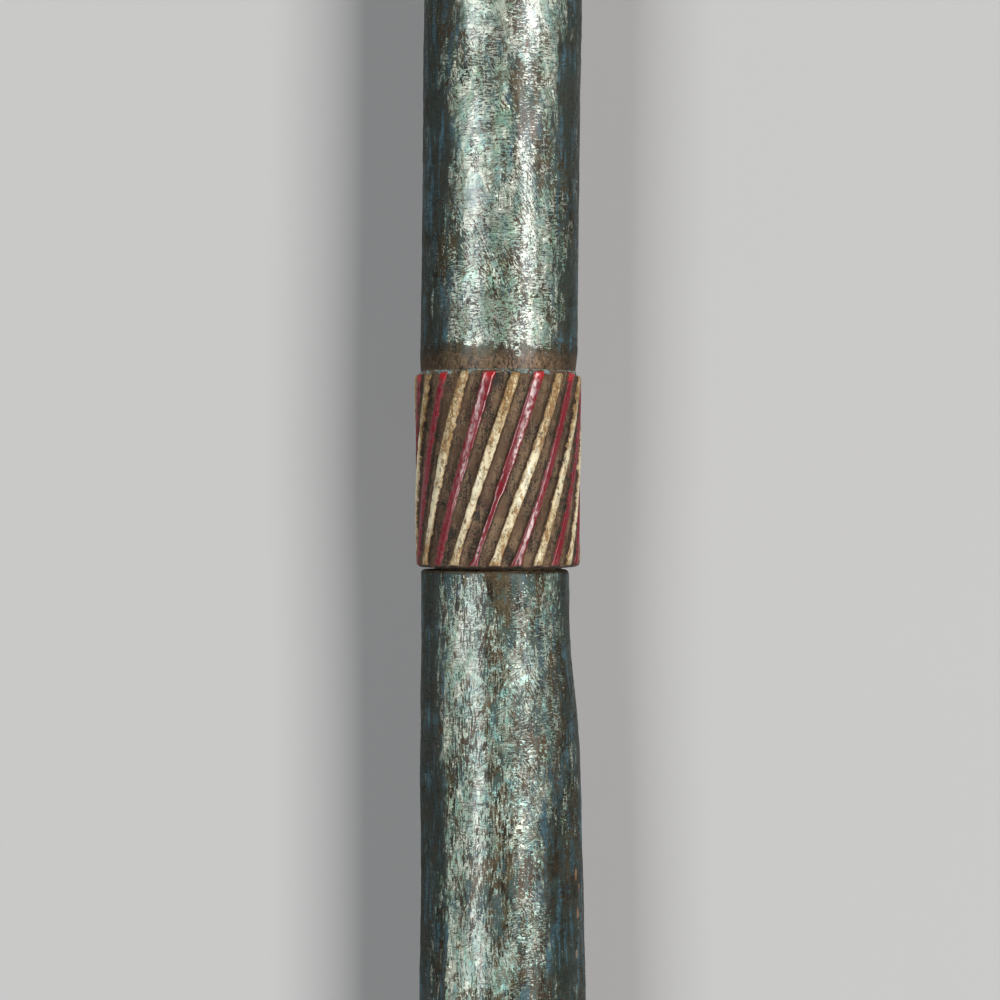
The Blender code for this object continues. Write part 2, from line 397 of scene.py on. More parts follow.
@dataclass
class Skin:
    """The closed surface of one physical piece, from the middle of one end to the middle of the other."""

    name: str
    line: StaffLine
    strips: int
    bands: list[Band]

    def ring_paths(self) -> Array:
        """Measure the way along the skin, weighted by detail.

        Returns:
            Distance of the first pole, of each ring and of the last pole.
        """
        radius = np.concatenate([np.hypot(b.points[..., 0], b.points[..., 2]).mean(1) for b in self.bands])
        along = np.concatenate([b.points[..., 1].mean(1) for b in self.bands])
        detail = np.concatenate([np.full(len(b.points), b.detail) for b in self.bands])
        steps = np.hypot(np.diff(radius), np.diff(along)) * detail[1:]
        path = np.concatenate([[radius[0] * detail[0]], steps, [radius[-1] * detail[-1]]])
        return np.concatenate([[0.0], np.cumsum(path)])

    def gaps(self) -> list[Gap]:
        """All faces of the skin: the fans at both ends and what lies between the rings.

        Returns:
            The first fan, each pair of rings in order, and the last fan.
        """
        rings, number = [], 1
        for band in self.bands:
            grid = number + np.arange(band.points[..., 0].size).reshape(band.points.shape[:2])
            rings.extend(grid)
            number += grid.size
        inner = [Gap.between(low, high) for low, high in zip(rings, rings[1:])]
        return [Gap.fan(rings[0], 0, True), *inner, Gap.fan(rings[-1], number, False)]

    def map_places(self, gaps: Sequence[Gap]) -> Array:
        """Lay the skin out in the bake map, in strips side by side that follow the piece.

        Args:
            gaps: All its faces.

        Returns:
            Place of each face corner, as (corners, 2): round the staff across a strip, along it up.
        """
        path = self.ring_paths()
        middle = (path[:-1] + path[1:]) / 2
        strip_of = np.minimum((middle / path[-1] * self.strips).astype(int), self.strips - 1)
        starts = np.append([path[np.argmax(strip_of == strip)] for strip in range(self.strips)], path[-1])
        low, size = STRIP_MARGIN, 1 - 2 * STRIP_MARGIN
        places = []
        for number, (gap, strip) in enumerate(zip(gaps, strip_of)):
            up = (path[number + gap.rings] - starts[strip]) / (starts[strip + 1] - starts[strip])
            across = (strip + low + size * gap.shares) / self.strips
            places.append(np.stack([across, low + size * up], -1).reshape(-1, 2))
        return np.concatenate(places)

    def mark_values(self, mark: str) -> Array:
        """Values of one mark at every vertex. The poles take their neighbours', and 0 stands for none."""
        values = [b.marks.get(mark, np.zeros(b.points.shape[:2])).ravel() for b in self.bands]
        return np.concatenate([values[0][:1], *values, values[-1][-1:]])

    def build(self, materials: Sequence[bpy.types.Material]) -> bpy.types.Object:
        """Make the mesh object.

        Args:
            materials: One for each Finish, in its order.

        Returns:
            The object, at the origin, with its place in its mesh.
        """
        poles = [self.bands[0].points[0].mean(0), self.bands[-1].points[-1].mean(0)]
        inner = [band.points.reshape(-1, 3) for band in self.bands]
        points = self.line.to_world(np.concatenate([poles[:1], *inner, poles[1:]]))
        gaps = self.gaps()
        ring_finishes = [band.finish.value for band in self.bands for _ in band.points]
        ring_finishes.append(ring_finishes[-1])
        finishes = np.repeat(ring_finishes, [len(gap.corners) for gap in gaps])
        sizes = np.concatenate([np.full(len(gap.corners), gap.corners.shape[1]) for gap in gaps])
        loops = np.concatenate([gap.corners.ravel() for gap in gaps])

        mesh = bpy.data.meshes.new(self.name)
        mesh.vertices.add(len(points))
        mesh.vertices.foreach_set("co", points.astype(np.float32).ravel())
        mesh.loops.add(len(loops))
        mesh.loops.foreach_set("vertex_index", loops.astype(np.int32))
        mesh.polygons.add(len(sizes))
        mesh.polygons.foreach_set("loop_start", (np.cumsum(sizes) - sizes).astype(np.int32))
        mesh.polygons.foreach_set("material_index", finishes.astype(np.int32))
        mesh.update(calc_edges=True)
        bake_map = mesh.uv_layers.new(name=BAKE_MAP)
        bake_map.uv.foreach_set("vector", self.map_places(gaps).astype(np.float32).ravel())
        for mark in MARKS:
            attribute = mesh.attributes.new(mark, "FLOAT", "POINT")
            attribute.data.foreach_set("value", self.mark_values(mark).astype(np.float32))
        for material in materials:
            mesh.materials.append(material)
        mesh.shade_smooth()
        return put(self.name, mesh)


# ---------------------------------------------------------------- the carved collar


def side_shade_share(angles: Array, left: Span = (0.38, 0.86), right: Span = (0.50, 0.90)) -> Array:
    """Painted shade on the sides, 0 to 1, from the sines where each side's shade begins and is full."""
    return np.maximum(smooth_step(-np.sin(angles), *left), smooth_step(np.sin(angles), *right))


@dataclass(frozen=True)
class RidgedCollar:
    """A thick collar with a blind socket, carved with leaning ridges, cream and red turn about."""

    start: float
    seed: int
    height: float = 44.5 * MM
    radius_low: float = 18.85 * MM
    radius_high: float = 19.15 * MM
    groove_radius: float = 17.78 * MM
    rim_radius: float = 18.0 * MM
    ledge_lift: float = 0.14 * MM
    socket_radius: float = 14.85 * MM
    socket_depth: float = 29.75 * MM
    ridges: int = 22
    half_crown: float = 0.2
    top_round: float = 0.9 * MM
    bottom_round: float = 1.5 * MM
    lip_round: float = 0.8 * MM
    red_drop: float = 0.12 * MM
    worn_drop: float = 0.22 * MM
    sway: float = 0.07 * MM
    chip_depth: float = 0.3 * MM
    trough_depth: float = 0.2 * MM
    floor_rough: float = 0.08 * MM
    ring_step: float = 0.5 * MM
    top_rings: float = 2.2 * MM
    worn_lengths: tuple[tuple[int, float, float], ...] = ((-1, 0.03, 0.37), (6, 0.5, 0.6), (11, 0.3, 0.45))

    # Columns of one ridge, as shares of the pitch from its middle: floor, wall, crown, wall, floor.
    OFFSETS = np.array(
        [-0.5, -0.42, -0.34, -0.29, -0.255, -0.225, -0.17, -0.085,
         0.0, 0.085, 0.17, 0.225, 0.255, 0.29, 0.34, 0.42]
    )
    WALL = 0.24

    @property
    def end(self) -> float:
        """Place of the collar's upper end along the staff."""
        return self.start + self.height

    @property
    def pitch(self) -> float:
        """Angle from one ridge to the next."""
        return math.tau / self.ridges

    def line_angle(self, ridge: Array, share: Array) -> Array:
        """Angle of a ridge's line at a share of the collar's height.

        The carver's spacing drifts: the ridges crowd on one side at the bottom
        and spread there at the top, so their turn over the height varies.

        Args:
            ridge: Ridge number, with fractions between ridges.
            share: Share of the height.

        Returns:
            ridge times pitch, plus a bottom angle that moves to a top angle in proportion.
        """
        turn = ridge * self.pitch
        bottom = np.radians(-2.5 - 4.5 * np.sin(turn + self.pitch / 2))
        top = np.radians(45.0 + 3.3 * np.cos(2 * turn - 0.17))
        return turn + bottom + share * (top - bottom)

    def wear_share(self, ridge: Array, share: Array) -> Array:
        """Where the crown is worn low and narrow.

        Args:
            ridge: Whole ridge numbers.
            share: Share of the height.

        Returns:
            1 in the worn lengths, falling to 0 beyond each end of them.
        """
        worn = np.zeros(np.broadcast_shapes(np.shape(ridge), np.shape(share)))
        for number, low, high in self.worn_lengths:
            begun = smooth_step(share, low - 0.03, low + 0.03)
            length = begun * (1 - smooth_step(share, high - 0.01, high + 0.01))
            worn = np.maximum(worn, length * (ridge == number % self.ridges))
        return worn

    def heights(self) -> Array:
        """Work out the heights of the rings.

        Returns:
            Fine steps over both rims, and even ones between.
        """
        bottom = self.bottom_round * np.linspace(0, 1, 11) ** 1.6
        top_start = self.height - self.top_rings
        body = np.arange(bottom[-1] + self.ring_step, top_start, self.ring_step)
        return np.concatenate([bottom, body, np.linspace(top_start, self.height, 15)])

    def slow(self, draw: np.random.Generator, share: Array, strength: float) -> Array:
        """Unevenness that changes slowly along each ridge: three cosine waves of the height.

        Args:
            draw: The collar's generator, which gives each ridge its own waves.
            share: Share of the height, as (rings, 1, 1).
            strength: About the largest value.

        Returns:
            The unevenness, as (rings, ridges, 1).
        """
        phases = draw.uniform(0, math.tau, (3, 1, self.ridges, 1))
        rates = draw.uniform(2, 9, (3, 1, self.ridges, 1))
        return strength * np.cos(rates * share[None] + phases).sum(0) / 1.7

    def carve(self) -> tuple[Array, Array, Array, Array]:
        """Work out the carved surface.

        Each ridge has its own half width, wander, height and ends, which change
        slowly along it. A point's radius is the groove's floor plus the ridge's
        height times its section: 1 on the crown, a quick fall at the wall and 0
        on the floor.

        Returns:
            Heights (rings), and angle, radius and stripe (rings, columns). The stripe is the
            section, positive on cream ridges and negative on red ones.
        """
        draw = np.random.default_rng(self.seed)
        height = self.heights()[:, None, None]
        share = height / self.height
        ridge = np.arange(self.ridges)[None, :, None]
        offset = self.OFFSETS[None, None, :]
        away = np.abs(offset)
        is_red = ridge % 2
        wear = self.wear_share(ridge, share)

        # Each column's angle: the crown's half width varies, and the floor takes up the rest of the pitch.
        splay = draw.uniform(0.05, 0.5, (1, self.ridges, 1)) * (1 - smooth_step(height, 0.3 * MM, 3.2 * MM))
        half = self.half_crown * (1 + self.slow(draw, share, 0.11) + splay)
        whittled = Waves(self.seed + 1, (4, 9), (2.5 * MM, 9 * MM)).at(ridge * 1.7, height)
        half = half * (1 - 0.3 * wear) + 0.007 * whittled
        beyond = half + (0.5 - half) * np.clip((away - self.WALL) / (0.5 - self.WALL), 0, 1)
        reach = away / self.WALL
        placed = np.sign(offset) * np.where(away <= self.WALL, np.minimum(reach, 1) * half, beyond)
        placed = placed + self.slow(draw, share, 0.035) * (1 - (2 * offset) ** 2)
        angle = self.line_angle(ridge + placed, share)

        # The crown: domed, a little rough, and chipped along its edges.
        section = 1 - smooth_step(away, 0.205, 0.31)
        domed = np.minimum(reach, 1) ** 2
        rough = Waves(self.seed + 2, (18, 60), (1.2 * MM, 5 * MM), 60).at(angle, height)
        bites = Waves(self.seed + 3, (40, 120), (0.9 * MM, 3.5 * MM), 60).at(angle, height)
        chip = smooth_step(bites, 1.1, 2.2)
        edge = smooth_step(reach, 0.3, 0.9) * (1 - smooth_step(reach, 1.1, 1.3))
        crown = self.radius_low + share * (self.radius_high - self.radius_low)
        crown = crown - self.red_drop * is_red - self.worn_drop * wear + self.slow(draw, share, self.sway)
        crown = crown + MM * ((0.032 - 0.012 * is_red) * rough - (0.04 - 0.02 * is_red) * domed)
        crown = crown - self.chip_depth * chip * edge

        # The floor: a rough trough that comes up to a ledge at the top and to the rim at the bottom.
        trough = self.trough_depth * smooth_step(away, 0.3, 0.5)
        floor = self.groove_radius - trough + self.floor_rough * rough
        ledge = smooth_step(height, self.height - 1.6 * MM, self.height - 0.5 * MM)
        floor = floor + (self.groove_radius + self.ledge_lift - floor) * ledge
        floor = floor + (self.rim_radius - floor) * (1 - smooth_step(height, 0.35 * MM, 0.95 * MM))

        top_end = self.height - draw.uniform(0.0, 0.8, (1, self.ridges, 1)) * MM
        ends = quarter_round((top_end - height) / self.top_round) * quarter_round(height / self.bottom_round)
        radius = floor + (crown - floor) * section * ends
        radius = radius - self.lip_round * edge_loss(height, self.lip_round)
        stripe = section * smooth_step(ends, 0.15, 0.6) * (1 - 0.28 * domed)
        stripe = stripe * (1 - 2 * is_red) * (1 - 0.2 * wear)
        angle, radius, stripe = (grid.reshape(len(height), -1) for grid in (angle, radius, stripe))
        return height.ravel(), angle, radius, stripe

    def top_angles(self) -> Array:
        """Angles of the columns of what stands on the collar: every other one of its own, at the top."""
        return self.carve()[1][-1, ::2]

    def bands(self) -> list[Band]:
        """Lay out the collar's skin.

        Returns:
            Its stretches, from the socket's blind end out of its mouth and up to the ledge.
        """
        height, angle, radius, stripe = self.carve()
        low = angle[0]
        blind = self.start + self.socket_depth
        wall = np.linspace(blind - 0.5 * MM, self.start + 0.4 * MM, 6)
        mouth = self.socket_radius + np.array([0.35, 1.4]) * MM
        rim = mouth[-1] + np.linspace(0.35, 0.9, 3)[:, None] * (radius[0] - mouth[-1])
        return [
            Band.round(np.full(3, blind), np.array([4, 9, 13]) * MM, low, Finish.BARE, detail=0.15),
            Band.round(wall, self.socket_radius, low, Finish.BARE, detail=0.15),
            Band.round(np.full(2, self.start), mouth, low, Finish.BARE, detail=0.3),
            Band.round(np.full(3, self.start), rim, low, Finish.RIDGES, detail=0.3),
            Band.round(self.start + height, radius, angle, Finish.RIDGES, stripe=stripe,
                       side=side_shade_share(angle), rise=height / self.height),
            Band.round(np.array([self.end + 0.06 * MM]), self.groove_radius - 0.03 * MM, angle[-1],
                       Finish.RIDGES, rise=1.0),
        ]


@dataclass(frozen=True)
class Tenon:
    """The plain round plug at the upper end of a section, and the shoulder it stands on."""

    shoulder: float
    radius: float = 14.5 * MM
    length: float = 30 * MM
    shoulder_radius: float = 16.1 * MM
    fillet: float = 0.1 * MM
    chamfer: float = 0.8 * MM

    def bands(self, angles: Array, sideways: float) -> list[Band]:
        """The shoulder's flat, the plug's side and its end.

        Args:
            angles: Angle of each column.
            sideways: Offset of the shoulder's rim, which closes to nothing at the plug.

        Returns:
            Two stretches of bare wood.
        """
        flat = np.linspace(self.shoulder_radius, self.radius + 2 * self.fillet, 4)
        end = self.shoulder + self.length
        shift = sideways * np.linspace(1, 0, 4)
        side = [0.1 * MM, 0.4 * MM, *np.linspace(2 * MM, self.length - 2 * MM, 8)]
        tip = end - np.array([1.0, 0.3, 0.0, 0.0, 0.0]) * self.chamfer
        along = np.concatenate([self.shoulder + np.array(side), tip])
        inset = np.array([0.3, 1.0, 5.0, 10.0]) * self.chamfer
        radius = np.concatenate([[self.radius + self.fillet], np.full(10, self.radius), self.radius - inset])
        return [
            Band.round(np.full(4, self.shoulder), flat, angles, Finish.BARE, sideways=shift, detail=0.3),
            Band.round(along, radius, angles, Finish.BARE, detail=0.15),
        ]


# ---------------------------------------------------------------- the three pieces


@dataclass(frozen=True)
class HandCarving:
    """How a shaft's surface strays from round: long flat facets, dents of the knife and small tool marks."""

    seed: int
    facet: float = 0.16 * MM
    dent: float = 0.035 * MM
    chatter: float = 0.020 * MM

    def at(self, angle: Array, along: Array) -> Array:
        """Relief at each point: hollow facets that meet in long creases, and two finer sets of waves.

        Args:
            angle: Angle round the staff.
            along: Place along the staff.

        Returns:
            Height above the plain round surface.
        """
        facets = 0.8 - np.abs(Waves(self.seed, (3, 8), (90 * MM, 400 * MM), 24).at(angle, along))
        dents = Waves(self.seed + 1, (4, 16), (9 * MM, 45 * MM), 48).at(angle, along)
        chatter = Waves(self.seed + 2, (10, 40), (2.5 * MM, 9 * MM), 60).at(angle, along)
        return self.facet * facets + self.dent * dents + self.chatter * chatter


@dataclass(frozen=True)
class Flat:
    """A long flat cut along a shaft, which meets what is beside it in a crease."""

    angle: float
    half_width: float
    start: float
    stop: float
    ease: float = 25 * MM

    def depth(self, angle: Array, along: Array, radius: Array) -> Array:
        """Wood taken off by the flat.

        Args:
            angle: Angle round the staff.
            along: Place along the staff.
            radius: The round shaft's radius.

        Returns:
            radius (1 - cos(half width) / cos(angle from the flat's middle)) inside the flat, easing in
            and out along it, and 0 outside.
        """
        turn = turn_from(self.angle, angle)
        inside = np.abs(turn) < self.half_width
        cut = radius * (1 - math.cos(self.half_width) / np.cos(np.where(inside, turn, 0.0)))
        middle = smooth_step(along, self.start, self.start + self.ease)
        middle = middle * (1 - smooth_step(along, self.stop - self.ease, self.stop))
        return np.where(inside, cut, 0.0) * middle


@dataclass(frozen=True)
class Nick:
    """A small dent where the paint has gone and pale wood shows."""

    along: float
    angle: float
    length: float
    width: float
    depth: float

    @classmethod
    def strewn(cls, seed: int, count: int, start: float, stop: float) -> list[Nick]:
        """Small dents in chance places.

        Args:
            seed: Seed of the chance.
            count: How many.
            start: First place along the staff.
            stop: Last place.

        Returns:
            The dents.
        """
        draw = np.random.default_rng(seed)
        sizes = ((0.6 * MM, 2.2 * MM), (0.5 * MM, 1.0 * MM), (0.08 * MM, 0.22 * MM))
        ranges = ((start, stop), (0, math.tau), *sizes)
        return [cls(*(draw.uniform(*limits) for limits in ranges)) for _ in range(count)]

    def share(self, angle: Array, along: Array, radius: float) -> Array:
        """Share of the dent's depth at each point: exp(-d²) of the scaled distance from its middle."""
        across = turn_from(self.angle, angle) * radius / self.width
        return np.exp(-(across**2) - ((along - self.along) / self.length) ** 2)


def nick_depth(nicks: Sequence[Nick], angle: Array, along: Array, radius: float) -> Array:
    """Wood lost to all the nicks of a shaft of a radius, added up at each point."""
    return sum(nick.depth * nick.share(angle, along, radius) for nick in nicks)


@dataclass(frozen=True)
class LowerSection:
    """The foot, the lower shaft, its shoulder and its tenon, carved from one piece of wood."""

    line: StaffLine
    shoulder: float
    columns: int = 224
    seed: int = 11
    foot_radius: float = 14.8 * MM
    foot_round: float = 3 * MM
    battered: float = 0.14 * MM
    rim: float = 1.0 * MM
    rim_drop: float = 0.8 * MM
    rim_lean: float = 0.25 * MM
    ring_steps: Pair = (0.5 * MM, 4 * MM)
    ring_reach: Pair = (100 * MM, 175 * MM)
    old_nicks: int = 40
    old_nicks_between: Pair = (20 * MM, 720 * MM)
    nicked_radius_at: float = 600 * MM
    flat_share: float = 0.2
    foot_wear: float = 0.6
    foot_wear_ends: Pair = (10 * MM, 55 * MM)
    rim_wear: float = 0.8
    crease: Pair = (668 * MM, 712 * MM)
    # A darker, duller strip near the joint: partly grime, partly painted shade.
    dull_angle: float = 0.22
    dull_half_width: Pair = (0.15, 0.75)
    dull_begins: Pair = (560 * MM, 640 * MM)
    radius: SmoothCurve = SmoothCurve(
        ((3 * MM, 17.0 * MM), (12 * MM, 17.2 * MM), (60 * MM, 16.2 * MM), (360 * MM, 17.6 * MM),
         (640 * MM, 19.0 * MM), (674 * MM, 18.5 * MM), (697 * MM, 18.3 * MM), (711 * MM, 17.7 * MM),
         (724 * MM, 17.1 * MM), (739 * MM, 16.95 * MM))
    )
    offset: SmoothCurve = SmoothCurve(
        ((12 * MM, 0.0), (200 * MM, 0.9 * MM), (480 * MM, 1.7 * MM), (640 * MM, 1.0 * MM),
         (697 * MM, 0.45 * MM), (724 * MM, -0.6 * MM), (739 * MM, -0.7 * MM))
    )
    # Fresh dents along the right edge, a hand's breadth below the joint.
    edge_nicks: tuple[Nick, ...] = (
        Nick(671.0 * MM, math.radians(66), 1.7 * MM, 0.7 * MM, 0.25 * MM),
        Nick(668.0 * MM, math.radians(72), 0.9 * MM, 0.6 * MM, 0.2 * MM),
        Nick(662.0 * MM, math.radians(68), 1.5 * MM, 0.7 * MM, 0.2 * MM),
        Nick(653.0 * MM, math.radians(64), 1.3 * MM, 0.5 * MM, 0.2 * MM),
    )
    flats: tuple[Flat, ...] = (
        Flat(math.radians(-27), math.radians(15), 560 * MM, 712 * MM),
        Flat(math.radians(-62), math.radians(19), 540 * MM, 716 * MM),
    )

    def shaded_sides(self, angles: Array, along: Array) -> Array:
        """The sides' painted shade: soft near the joint, crisper below the crease, and wider there on the
        right.

        Args:
            angles: Angle of each column.
            along: Place of each ring, as (rings, 1).

        Returns:
            0 in front and behind, 1 at the side.
        """
        down = 1 - smooth_step(along, *self.crease)
        left = (0.49 + 0.12 * down, 0.92 - 0.18 * down)
        return side_shade_share(angles, left, right=(0.5 - 0.3 * down, 0.95 - 0.22 * down))

    def dull_strip(self, angles: Array, along: Array) -> Array:
        """A darker, duller strip down the front near the joint, right of the middle: partly grime, partly
        painted shade.
        """
        across = 1 - smooth_step(np.abs(turn_from(self.dull_angle, angles)), *self.dull_half_width)
        return across * smooth_step(along, *self.dull_begins)

    def foot_bands(self, angles: Array) -> list[Band]:
        """The foot's flat end and its rounded, battered edge.

        Args:
            angles: Angle of each column.

        Returns:
            The two stretches.
        """
        flat = np.array([5, 10, 13.6, self.foot_radius / MM]) * MM
        dents = Waves(self.seed + 7, (3, 20), (4 * MM, 20 * MM)).at(angles, 0.0)
        share = np.linspace(0.04, 1.0, 9)[:, None]
        edge = quarter_round(share**1.5)
        radius = self.foot_radius + (self.radius.at(self.foot_round) - self.foot_radius) * edge
        radius = radius - self.battered * dents * (1 - share)
        return [
            Band.round(np.zeros(4), flat, angles, Finish.SHAFT, detail=0.8, bare=0.95),
            Band.round(self.foot_round * share**1.5, radius, angles, Finish.SHAFT, bare=1 - 0.4 * share),
        ]

    def shaft_band(self, angles: Array) -> Band:
        """The shaft, from the foot's edge to the shoulder's rounded rim.

        Args:
            angles: Angle of each column.

        Returns:
            The stretch.
        """
        stop = self.shoulder - self.rim
        along = graded(self.foot_round + 0.6 * MM, stop, self.shoulder, self.ring_steps, self.ring_reach)
        along = np.concatenate([along, stop + self.rim * np.linspace(0.15, 1, 8)])[:, None]
        fade = smooth_step(np.minimum(along - self.foot_round, self.shoulder - along), 0.0, 5 * MM)
        surface = (angles, along, float(self.radius.at(self.nicked_radius_at)))
        old_nicks = Nick.strewn(self.seed, self.old_nicks, *self.old_nicks_between)
        plain = self.radius.at(along)
        radius = plain + HandCarving(self.seed).at(angles, along) * fade
        radius = radius - nick_depth(self.edge_nicks, *surface) - nick_depth(old_nicks, *surface)
        radius = radius - self.flat_share * sum(flat.depth(angles, along, plain) for flat in self.flats)
        drop = self.rim_drop + self.rim_lean * np.sin(angles)
        radius = radius - drop * edge_loss(self.shoulder - along, self.rim)
        foot_wear = self.foot_wear * (1 - smooth_step(along, *self.foot_wear_ends))
        rim_wear = self.rim_wear * smooth_step(along, stop, self.shoulder)
        marks = {
            "bare": np.maximum(foot_wear, rim_wear),
            "nick": functools.reduce(np.maximum, (nick.share(*surface) for nick in self.edge_nicks)),
            "grain": smooth_step(-np.sin(angles[None]), -0.25, 0.15),
            "side": self.shaded_sides(angles, along),
            "dull": self.dull_strip(angles, along),
        }
        return Band.round(along, radius, angles, Finish.SHAFT, self.offset.at(along), **marks)

    def build(self, materials: Sequence[bpy.types.Material]) -> bpy.types.Object:
        """Make the lower section's skin.

        Args:
            materials: One for each Finish, in its order.

        Returns:
            The object.
        """
        angles = np.arange(self.columns) * math.tau / self.columns
        tenon = Tenon(self.shoulder).bands(angles, float(self.offset.at(self.shoulder)))
        bands = [*self.foot_bands(angles), self.shaft_band(angles), *tenon]
        return Skin("lower_section_wood", self.line, strips=3, bands=bands).build(materials)


@dataclass(frozen=True)
class UpperSection:
    """The ridged collar and the upper shaft with its tenon, carved from one piece of wood."""

    line: StaffLine
    collar: RidgedCollar
    shoulder: float
    seed: int = 23
    bow: float = 3.0 * MM
    rim: float = 0.9 * MM
    rim_drop: float = 0.8 * MM
    ring_steps: Pair = (0.6 * MM, 6 * MM)
    ring_reach: Pair = (88 * MM, 200 * MM)
    old_nicks: int = 30
    collar_wear: float = 8.5 * MM
    rim_wear: float = 0.75
    rim_wear_reach: float = 2.2 * MM
    # A line of paint that lies thick, from a little above the collar upwards.
    thick: float = 0.25
    thick_angle: float = 0.36
    thick_half_width: Pair = (0.12, 0.3)
    thick_begins: Pair = (8 * MM, 25 * MM)
    radius: SmoothCurve = SmoothCurve(
        ((0.0, 17.7 * MM), (4 * MM, 17.95 * MM), (330 * MM, 18.0 * MM), (560 * MM, 17.5 * MM),
         (659 * MM, 17.0 * MM))
    )

    def shaft_band(self, angles: Array) -> Band:
        """The shaft, from the collar's ledge to the shoulder's rounded rim.

        Args:
            angles: Angle of each column.

        Returns:
            The stretch.
        """
        base, stop = self.collar.end, self.shoulder - self.rim
        along = graded(base + 0.45 * MM, stop, base, self.ring_steps, self.ring_reach)
        along = np.concatenate([along, stop + self.rim * np.linspace(0.2, 1, 6)])[:, None]
        height, below = along - base, self.shoulder - along
        fade = smooth_step(height, 0, 6 * MM) * smooth_step(below, 0, 5 * MM)
        nicks = Nick.strewn(self.seed, self.old_nicks, base + 8 * MM, stop)
        radius = self.radius.at(height) + HandCarving(self.seed).at(angles, along) * fade
        radius = radius - nick_depth(nicks, angles, along, float(self.radius.at(0)))
        radius = radius - self.rim_drop * edge_loss(below, self.rim)
        sideways = self.bow * np.sin(math.pi * height / (self.shoulder - base))
        thick = 1 - smooth_step(np.abs(turn_from(self.thick_angle, angles)), *self.thick_half_width)
        thick = self.thick * thick * smooth_step(height, *self.thick_begins)
        by_collar = 1 - smooth_step(height, 0.0, self.collar_wear) - thick
        by_rim = self.rim_wear * smooth_step(along, self.shoulder - self.rim_wear_reach, self.shoulder)
        return Band.round(along, radius, angles, Finish.SHAFT, sideways, bare=np.maximum(by_collar, by_rim),
                          side=side_shade_share(angles[None]))

    def build(self, materials: Sequence[bpy.types.Material]) -> bpy.types.Object:
        """Make the upper section's skin.

        Args:
            materials: One for each Finish, in its order.

        Returns:
            The object.
        """
        angles = self.collar.top_angles()
        bands = [*self.collar.bands(), self.shaft_band(angles), *Tenon(self.shoulder).bands(angles, 0.0)]
        return Skin("upper_section_wood", self.line, strips=3, bands=bands).build(materials)


@dataclass(frozen=True)
class Moulding:
    """A round ring turned on the finial: an arc between two angles in degrees from its outermost point."""

    height: float
    inner: float
    half: float
    first: float
    last: float
    steps: int = 18

    def profile(self) -> tuple[Array, Array]:
        """Heights and radii along the arc: the centre's, plus half times sin and cos of the angle."""
        turn = np.radians(np.linspace(self.first, self.last, self.steps))
        return self.height + self.half * np.sin(turn), self.inner + self.half * np.cos(turn)


